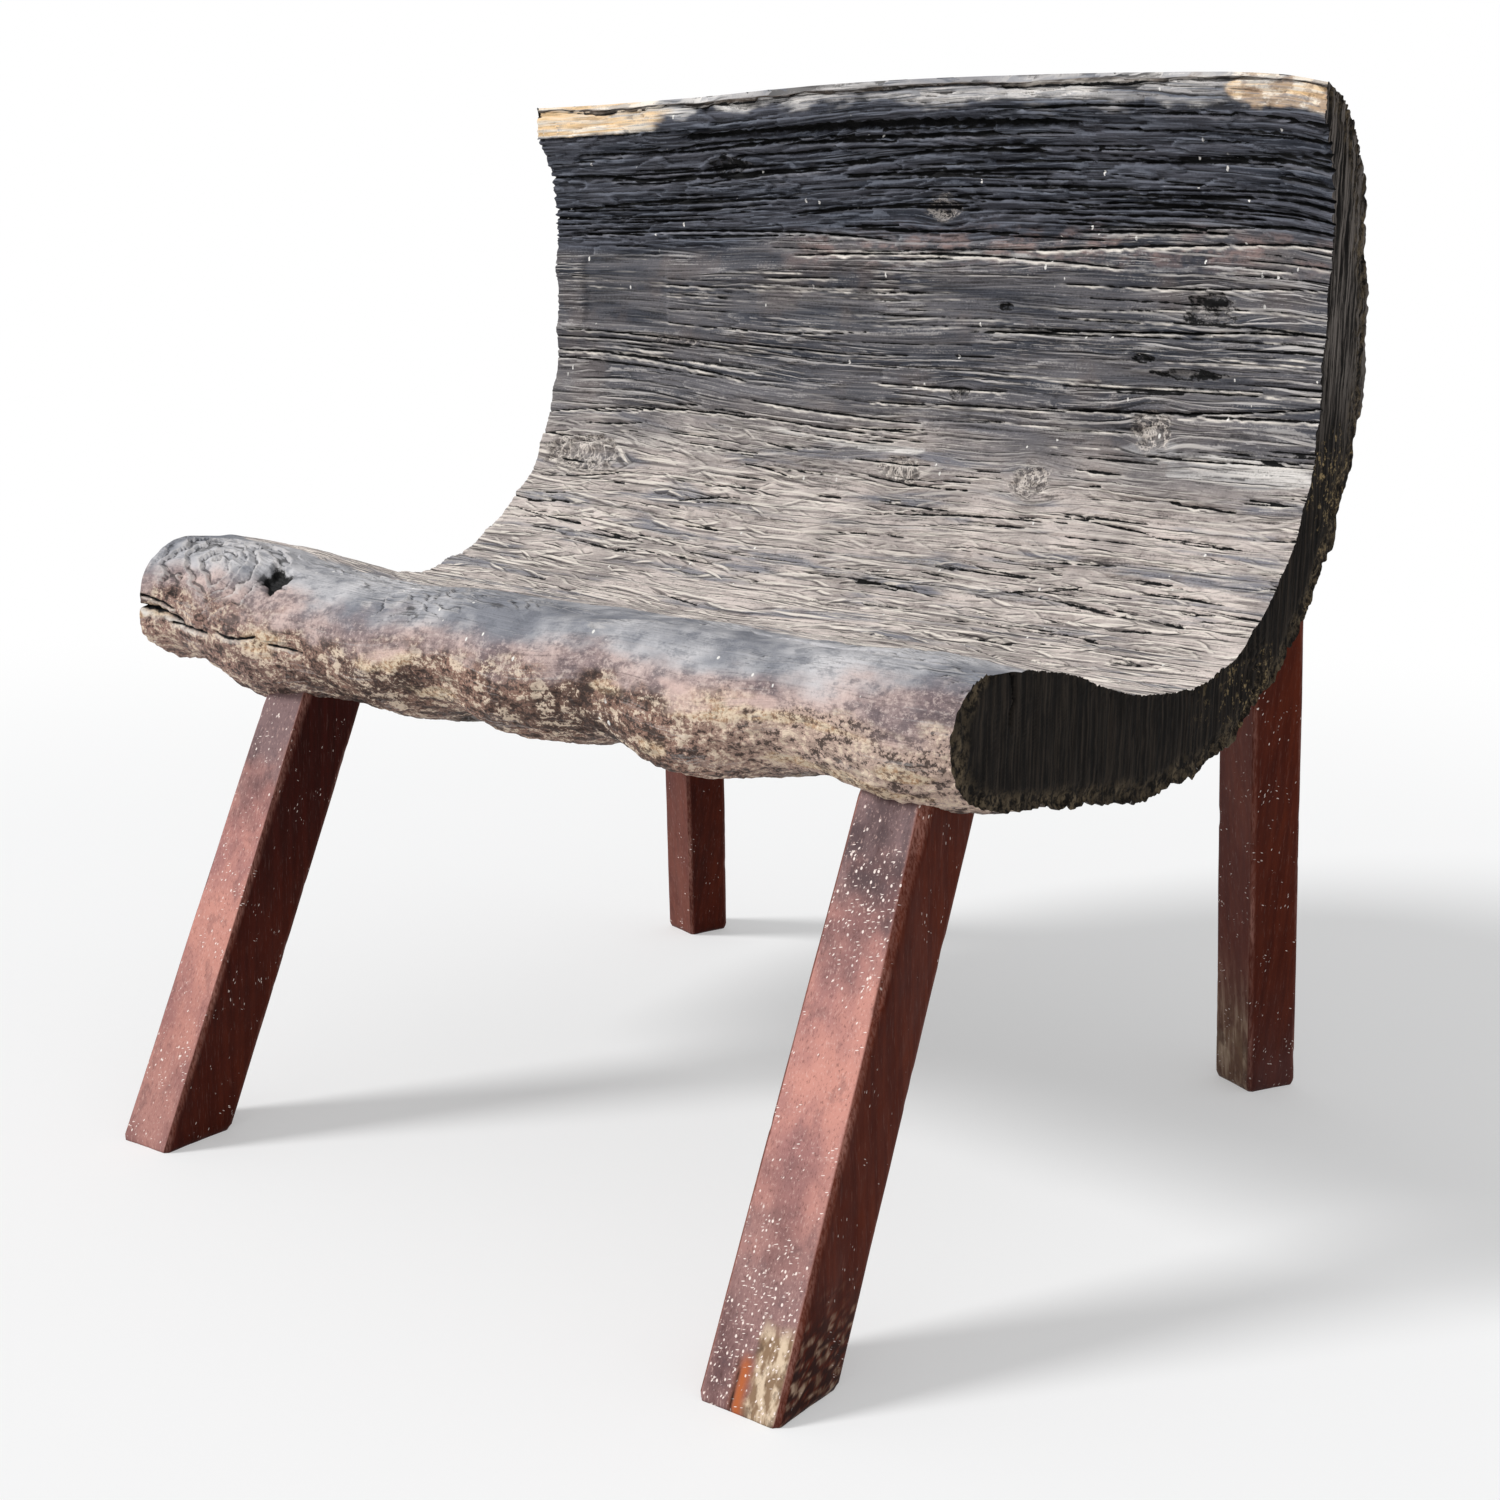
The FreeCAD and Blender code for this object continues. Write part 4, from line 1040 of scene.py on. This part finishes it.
def addLogEnds(points, moved):
    # sawn end between the inner and outer outlines: (1 - t)*inner + t*outer, with the carved edges fading inward
    form = endForm
    material = makeEndMaterial()
    steps, half, rows = form["steps"], 0.5 * logForm["length"], rowOf("lip")
    t = np.linspace(0, 1, steps)[None, :, None]
    inner = np.arange(rows + 1)
    outer = -inner % len(points)
    for name, column, side in (("logEndLeft", 0, -1), ("logEndRight", -1, 1)):
        base = (1 - t) * points[inner, column][:, None] + t * points[outer, column][:, None]
        shift = (moved - points)[:, column]
        face = base + (1 - t) ** form["fade"] * shift[inner][:, None] + t ** form["fade"] * shift[outer][:, None]
        y, z = face[..., 1], face[..., 2]
        width = np.linalg.norm(base[:, -1] - base[:, 0], axis=1)[:, None]
        saw = layers(y / 0.02, z / 0.02, 103, 3)
        ring = np.hypot(y - form["ringY"], z - form["ringZ"]) / form["ringWidth"] + 0.8 * saw
        rim = smooth((1 - t[..., 0]) * width, 0.026, 0.008)
        lipY, lipZ = face[rows, 0, 1:]
        crackY = lipY + form["crackFrom"] + form["crackLean"] * (lipZ - z) + 0.003 * layers(z / 0.012, 0.5, 105, 2)
        crack = smooth(z, lipZ - form["crackEnd"], lipZ - form["crackFull"]) * bell(y - crackY, form["crackWidth"])
        sunk = (form["sawDepth"] * np.clip(0.5 + 0.6 * layers(y / 0.0035, z / 0.07, 101, 3) + 0.5 * saw, 0, 2)
                + form["ringDepth"] * np.sin(2 * np.pi * ring) * bell(ring, 3.5) + form["crackDepth"] * crack
                + form["crumbDepth"] * rim * np.clip(0.5 + layers(y / 0.010, z / 0.012, 107, 3), 0, 1.5))
        face[..., 0] -= side * smooth(np.minimum(t, 1 - t)[..., 0] * width, 0.0, form["soundEdge"]) * sunk
        face[..., 0] = np.clip(face[..., 0], -half, half)

        # the first and last rows are drawn together into one point each, and the spare points are left out
        corner = np.arange((rows + 1) * steps).reshape(rows + 1, steps)
        corner[0], corner[-1] = 0, corner[-1, 0]
        quads = gridFaces(corner)[:, ::-side]
        pointed = [list(dict.fromkeys(quad)) for quad in quads[np.r_[0:steps - 1, 1 - steps:0]].tolist()]
        quads = [quad for quad in pointed if len(quad) > 2] + quads[steps - 1:1 - steps].tolist()
        used, order = np.unique(np.concatenate(quads), return_inverse=True)
        faces = [part.tolist() for part in np.split(order, np.cumsum([len(quad) for quad in quads])[:-1])]
        values = {"dark": crack, "high": smooth(z, 0.44, 0.56), "rim": rim,
                  "gold": smooth(y, 0.05, 0.16) * smooth(z, 0.60, 0.50)}
        values = {key: data.ravel()[used] for key, data in values.items()}
        meshPiece(name, face.reshape(-1, 3)[used], faces, None, values, "seat_log", material)
    print("sawn ends built")


logShift = addLogPieces()


# Legs

# metres and degrees
legForms = {
    "front_left_leg": {
        "side": -1, "width": 0.046, "depth": 0.054, "inset": 0.137, "rake": 23.8, "splay": 1.2, "twist": 3.5,
        "chamfer": 0.005, "chamferedCorner": 0, "rear": False, "seed": 201},
    "front_right_leg": {
        "side": 1, "width": 0.055, "depth": 0.053, "inset": 0.050, "rake": 26.1, "splay": 2.9, "twist": 2.2,
        "chamfer": 0.009, "chamferedCorner": 0, "rear": False, "seed": 211},
    "rear_left_leg": {
        "side": -1, "width": 0.038, "depth": 0.040, "inset": 0.136, "rake": -10.4, "splay": 6.6, "twist": -15.0,
        "chamfer": 0.003, "chamferedCorner": 3, "rear": True, "seed": 221},
    "rear_right_leg": {
        "side": 1, "width": 0.042, "depth": 0.043, "inset": 0.041, "rake": -8.0, "splay": -0.8, "twist": -25.0,
        "chamfer": 0.005, "chamferedCorner": 3, "rear": True, "seed": 231},
}
legStock = {
    "frontSetback": 0.015, "frontTopShare": 0.88, "rearTopShare": 1.0, "rearAngle": 37.0,
    "chamferStart": 0.6, "arris": 0.0025, "housing": 0.012,
    "nickDepth": 0.0022, "dentDepth": 0.00025, "footEase": 0.0018,
    "sidePoints": 30, "cornerPoints": 5, "rings": 170,
}


def legPlace(leg, shift):
    # where the leg's axis meets the log's plain section, the log's outward normal there, and the leg's axis
    values = sectionValues(0, np.zeros((7, 1)))
    values = {key: float(np.ravel(value)[0]) for key, value in values.items()}
    if leg["rear"]:
        angle = -math.radians(legStock["rearAngle"])
        normal = Vector((0, math.cos(angle), math.sin(angle)))
        spot = Vector((0, values["trunkY"], values["trunkZ"])) + logForm["trunkRadius"] * normal
    else:
        angle = values["under"]
        normal = Vector((0, math.cos(angle), math.sin(angle)))
        spot = Vector((0, values["crestY"], values["crestZ"] - values["lip"])) + values["lip"] * normal
        spot += legStock["frontSetback"] * Vector((0, -math.sin(angle), math.cos(angle)))
    spot.x = leg["side"] * (0.5 * logForm["length"] - leg["inset"])
    spot.y += shift
    rake, splay = math.radians(leg["rake"]), math.radians(leg["splay"])
    axis = Vector((-leg["side"] * math.tan(splay), math.tan(rake), 1)).normalized()
    return spot, normal, axis


def legOutline(leg, height, length):
    # rectangle with four cut corners whose sizes follow the height; points run round it on each ring
    share = legStock["rearTopShare"] if leg["rear"] else legStock["frontTopShare"]
    width = 0.5 * leg["width"] * (1 - (1 - share) * height / length)
    depth = np.full_like(width, 0.5 * leg["depth"])
    arris = np.full_like(width, legStock["arris"])
    start = legStock["chamferStart"] * length
    end = length + leg["width"] + leg["depth"]
    grown = arris + (leg["chamfer"] - arris) * np.clip((height - start) / (end - start), 0, 1)
    cuts = [grown if corner == leg["chamferedCorner"] else arris for corner in range(4)]
    corners = np.array([
        (width - cuts[0], -depth), (width, -depth + cuts[0]), (width, depth - cuts[1]), (width - cuts[1], depth),
        (-width + cuts[2], depth), (-width, depth - cuts[2]), (-width, -depth + cuts[3]), (-width + cuts[3], -depth),
    ])
    corners = np.moveaxis(corners, 1, 2)
    outline, face, across = [], [], []
    for corner in range(8):
        count = legStock["cornerPoints"] if corner % 2 == 0 else legStock["sidePoints"]
        t = np.linspace(0, 1, count, endpoint=False)[:, None, None]
        outline.append((1 - t) * corners[corner] + t * corners[(corner + 1) % 8])
        face += [corner // 2 if corner % 2 else -1] * count
        across += t.ravel().tolist()
    return np.concatenate(outline), np.array(face), np.array(across)


def legFinish(name, along, across, face):
    # values for the shader: along runs 0 at the foot to 1 at the log, across 0 to 1 over each face,
    # and face is 0 right, 1 rear, 2 left, 3 front
    front = smooth(abs(face - 3), 0.5, 0.0)
    left = smooth(abs(face - 2), 0.5, 0.0)
    right = smooth(abs(face), 0.5, 0.0)
    mottled = layers(along / 0.05, across / 0.5 + face, 301, 3)
    beige, orange, dark = (np.zeros(along.shape) for _ in range(3))
    amber = 0.25 + 0.35 * across + 0.15 * mottled
    # painted light and sheen: the front and left faces, which face the key lamp, are paler and pinker than the sides
    if name == "front_left_leg":
        amber = amber * smooth(along, 0.9, 0.2)
        litFaces = front * (0.78 + 0.15 * bell(along - 0.6, 0.3)) + 0.3 * left
        # painted shade under the seat darkens the top of the front face, here and on the front right leg, and a darker
        # grey-mauve band lies low down
        seatShadeAndFootGrey = front * (smooth(along + 0.05 * mottled, 0.62, 0.84) + smooth(along, 0.30, 0.05) * 0.35)
        flecks = front * 0.35 + 0.15
    elif name == "front_right_leg":
        litFaces = 0.95 * front + 0.3 * left
        amber = amber + 0.35
        seatShadeAndFootGrey = front * (smooth(along + 0.06 * mottled, 0.60, 0.90) + smooth(along + 0.05 * mottled, 0.46, 0.16) * 0.8)
        flecks = front * (0.9 * bell(along - 0.80, 0.09) + 0.75 * smooth(along, 0.45, 0.1) + 0.25) + 0.1
        strip = smooth(along + 0.02 * mottled, 0.16, 0.12)
        beige = front * smooth(across + 0.1 * mottled, 0.52, 0.60) * strip
        crumbs = layers(along / 0.014, across / 0.16, 303, 4)
        beige = np.maximum(beige, right * smooth(along + 0.03 * mottled, 0.20, 0.08) * smooth(crumbs, 0.22, 0.32) * 0.5)
        orange = front * bell(across - 0.47, 0.08) * smooth(along, 0.10, 0.07)
        dark = front * bell(across - 0.38 - 0.03 * mottled, 0.02) * smooth(along, 0.10, 0.06)
        dark = np.maximum(dark, right * smooth(along + 0.03 * mottled, 0.22, 0.09) * smooth(crumbs, 0.12, -0.05) * 0.75)
    elif name == "rear_left_leg":
        litFaces, seatShadeAndFootGrey, flecks = 0.16 * (left + front), 0.0 * along, 0.1 + 0.0 * along
    else:
        litFaces, seatShadeAndFootGrey, flecks = 0.10 * (left + front), 0.10 * front + 0.2 * smooth(along, 0.3, 0.0), 0.25 + 0.0 * along
        amber = amber + 0.30 + 0.3 * front
        bare = bell(along - 0.10, 0.06) * smooth(mottled, -0.2, 0.2)
        beige = front * (0.45 * smooth(along, 0.32, 0.04) + 0.30 * bare)
    return {"litFaces": litFaces, "seatShadeAndFootGrey": seatShadeAndFootGrey, "flecks": flecks, "beige": beige, "orange": orange, "dark": dark,
            "amber": np.clip(amber, 0, 1)}


def addLeg(name, leg, material, shift):
    # each ring point = foot + turn*(x, y, 0) + h*axis, where h runs from the floor to the shoulder in the log
    spot, normal, axis = legPlace(leg, shift)
    length = spot.z / axis.z
    foot = np.array(spot - axis * length)
    turn = Vector((0, 0, 1)).rotation_difference(axis).to_matrix() @ Matrix.Rotation(math.radians(leg["twist"]), 3, "Z")
    turn, axis = np.array(turn), np.array(axis)
    shoulder, into = np.array(spot - normal * legStock["housing"]), -np.array(normal)
    share = np.linspace(0, 1, legStock["rings"])[None, :]
    height = share * length
    for _ in range(3):
        outline, face, across = legOutline(leg, height.mean(0), length)
        flat = outline @ turn[:, :2].T
        low = -flat[..., 2] / axis[2]
        high = ((shoulder - foot - flat) @ into) / (axis @ into)
        height = low + share * (high - low)
    # corners are eased by averaging each point with its neighbours round the ring
    outline = 0.5 * outline + 0.25 * (np.roll(outline, 1, 0) + np.roll(outline, -1, 0))
    arrisShare = (face < 0)[:, None].astype(float)
    near = sum(np.roll(arrisShare, step, 0) for step in range(-3, 4)) / 5
    girth = np.cumsum(np.linalg.norm(np.diff(outline[:, :1], axis=0, prepend=outline[-1:, :1]), axis=-1), axis=0)
    seed = leg["seed"]
    nicks = np.clip(layers(height / 0.040, girth / 0.02, seed, 3) - 0.40, 0, 1) * np.clip(near, 0, 1)
    dents = layers(height / 0.09, girth / 0.012, seed + 4, 3)
    inward = (legStock["nickDepth"] * nicks + legStock["dentDepth"] * dents
              + legStock["footEase"] * smooth(height - low, 0.004, 0.0))
    scale = 1 - inward / np.maximum(np.linalg.norm(outline, axis=-1), 1e-6)
    rim = sum(np.roll(arrisShare, step, 0) for step in (-1, 0, 1)) / 3
    worn = rim * (0.45 + 0.55 * smooth(layers(height / 0.06, girth / 0.05, seed + 8, 2), -0.2, 0.5))
    outline = outline * scale[..., None]
    points = foot + outline @ turn[:, :2].T + height[..., None] * axis
    points[:, 0, 2] = 0.0
    points[..., 2] = np.maximum(points[..., 2], 0.0)
    values = legFinish(name, *np.broadcast_arrays(share, across[:, None], face[:, None]))
    values["worn"] = worn
    corner = np.arange(height.size).reshape(height.shape)
    corner = np.concatenate([corner, corner[:1]])
    quads = gridFaces(corner).tolist() + [corner[:-1, 0][::-1].tolist(), corner[:-1, -1].tolist()]
    values = {key: np.ascontiguousarray(data).ravel() for key, data in values.items()}
    meshPiece(name + "_worn", points, quads, None, values, name, material)


legLook = {
    "textures": {
        "grain": ((200, 200, 10), 4, 0.55), "cloud": ((22, 22, 9), 4, 0.6), "fine": ((800, 800, 90), 3, 0.65),
        "stain": ((80, 80, 36), 5, 0.70),
    },
    "tones": {
        "plain": [("grain", 0.34, 0.68, (48, 9, 3), (62, 14, 6))],
        "amber": [("grain", 0.34, 0.68, (80, 26, 9), (96, 37, 16))],
        # pale pink of the lit faces, painted light and sheen
        "litFaces": [("cloud", 0.36, 0.64, (166, 118, 114), (206, 146, 133)), ("stain", 0.52, 0.64, 0.4, (130, 94, 92))],
        # greyish mauve: painted shade under the seat, and the darker band low on the legs
        "seatShadeAndFootGrey": [("cloud", 0.40, 0.60, (82, 64, 66), (130, 106, 106)), ("stain", 0.54, 0.64, 0.35, (76, 66, 72))],
        "beige": [("grain", 0.40, 0.60, (138, 112, 88), (212, 190, 164)), ("stain", 0.50, 0.62, 0.7, (92, 74, 60))],
    },
    "colours": {
        "scratch": (222, 188, 178), "score": (70, 40, 36), "worn": (168, 120, 108), "orange": (176, 96, 54),
        "fleck": (238, 222, 214), "dark": (22, 10, 8),
    },
    "bump": (0.2, 0.0005, 0.08),
    # scale and turn of each set of paint flecks
    "flecks": [
        ((150, 150, 620), (0.5, 0.3, 0)), ((640, 190, 170), (-0.4, 0.6, 0.8)), ((170, 600, 180), (0.2, -0.7, 0.4)),
    ],
}


def makeLegMaterial():
    wood = Shader(bpy.data.materials.new("legWood"))
    place, look, paint = wood.place(), legLook, legLook["colours"]
    texture = {name: wood.noise(place, *form) for name, form in look["textures"].items()}
    names = ("litFaces", "seatShadeAndFootGrey", "flecks", "worn", "beige", "orange", "dark", "amber")
    value = {key: wood.value(key) for key in names}
    tones = {zone: wood.tone(texture, *table) for zone, table in look["tones"].items()}
    # zones, with painted light on the faces turned to the key and painted shade under the seat, then pale and dark
    # scratches, worn arrises, and bare wood at the feet
    fine = texture["fine"]
    paler = wood.add(wood.product(value["litFaces"], 0.40), 0.05)
    colour = wood.cover(
        tones["plain"], *((value[zone], tones[zone]) for zone in ("amber", "litFaces", "seatShadeAndFootGrey")),
        (wood.product(wood.between(fine, 0.56, 0.70), paler), paint["scratch"]),
        (wood.product(wood.between(fine, 0.44, 0.32), paler), paint["score"]),
        (wood.product(value["worn"], wood.between(fine, 0.36, 0.60, 0.15, 0.6)), paint["worn"]),
        (value["beige"], tones["beige"]), (value["orange"], paint["orange"]))
    # paint flecks: short dashes lying several ways, in clusters
    for scale, turn in look["flecks"]:
        spots = wood.put("TexVoronoi", {"Vector": wood.stretched(place, scale, turn), "Scale": 1.0})
        spot = wood.between(spots["Distance"], 0.21, 0.13)
        cluster = wood.noise(place, (60, 60, 40), 3, 0.6, turn)
        wanted = wood.between(wood.add(cluster, wood.product(value["flecks"], 0.20)), 0.63, 0.70)
        colour = wood.blend(wood.product(spot, wanted), colour, paint["fleck"])
    colour = wood.blend(value["dark"], colour, paint["dark"])
    height = wood.add(texture["grain"], wood.product(texture["stain"], 0.6), wood.product(fine, 0.6))
    return wood.finish(colour, wood.between(texture["cloud"], 0.3, 0.7, 0.42, 0.60), height, *look["bump"])


legMaterial = makeLegMaterial()
for legName, legForm in legForms.items():
    addLeg(legName, legForm, legMaterial, logShift)
print("legs built")


# Floor, backdrop and light

studio = {
    "floorSize": 12.0, "fadeFrom": 0.9, "fadeTo": 2.2,
    "skyStrength": 0.50, "keyStrength": 2.5, "keyAngle": 15.0, "floorVeil": 0.35, "keyFrom": (-0.62, -0.70, 0.72),
}


def addFloor():
    # pale floor that keeps the shadow near the chair and fades to the white background further out
    mesh = bpy.data.meshes.new("floor")
    reach = 0.5 * studio["floorSize"]
    corners = [(-reach, -reach, 0), (reach, -reach, 0), (reach, reach, 0), (-reach, reach, 0)]
    mesh.from_pydata(corners, [], [(0, 1, 2, 3)])
    pale = Shader(bpy.data.materials.new("paleFloor"))
    far = pale.put("VectorMath", {0: pale.place()}, operation="LENGTH")["Value"]
    ray = pale.put("LightPath")
    seen = pale.highest(ray["Is Camera Ray"], ray["Is Glossy Ray"], ray["Is Transmission Ray"])
    share = pale.product(pale.between(far, studio["fadeFrom"], studio["fadeTo"], studio["floorVeil"], 1.0), seen)
    matt = pale.put("BsdfDiffuse", {"Color": (0.92, 0.92, 0.92, 1)})[0]
    white = pale.put("Emission", {"Color": (1, 1, 1, 1), "Strength": 1.0})[0]
    mixed = pale.put("MixShader", {0: share, 1: matt, 2: white})[0]
    pale.put("OutputMaterial", {"Surface": mixed})
    mesh.materials.append(pale.owner)
    floor = bpy.data.objects.new("floor", mesh)
    bpy.context.scene.collection.objects.link(floor)


def addLight():
    # white to the camera and through transmission, a softer level for everything else, and one soft key lamp
    world = bpy.data.worlds.new("studioWorld")
    bpy.context.scene.world = world
    sky = Shader(world)
    ray = sky.put("LightPath")
    seen = sky.highest(ray["Is Camera Ray"], ray["Is Transmission Ray"])
    soft = sky.put("Background", {"Color": (0.98, 0.99, 1, 1), "Strength": studio["skyStrength"]})[0]
    white = sky.put("Background", {"Color": (1, 1, 1, 1), "Strength": 1.0})[0]
    mixed = sky.put("MixShader", {0: seen, 1: soft, 2: white})[0]
    sky.put("OutputWorld", {"Surface": mixed})
    key = bpy.data.lights.new("keyLamp", "SUN")
    key.energy, key.angle = studio["keyStrength"], math.radians(studio["keyAngle"])
    lamp = bpy.data.objects.new("keyLamp", key)
    lamp.rotation_euler = Vector(studio["keyFrom"]).to_track_quat("Z", "Y").to_euler()
    bpy.context.scene.collection.objects.link(lamp)


addFloor()
addLight()
bpy.context.scene.view_settings.view_transform = "Standard"
print("studio ready")
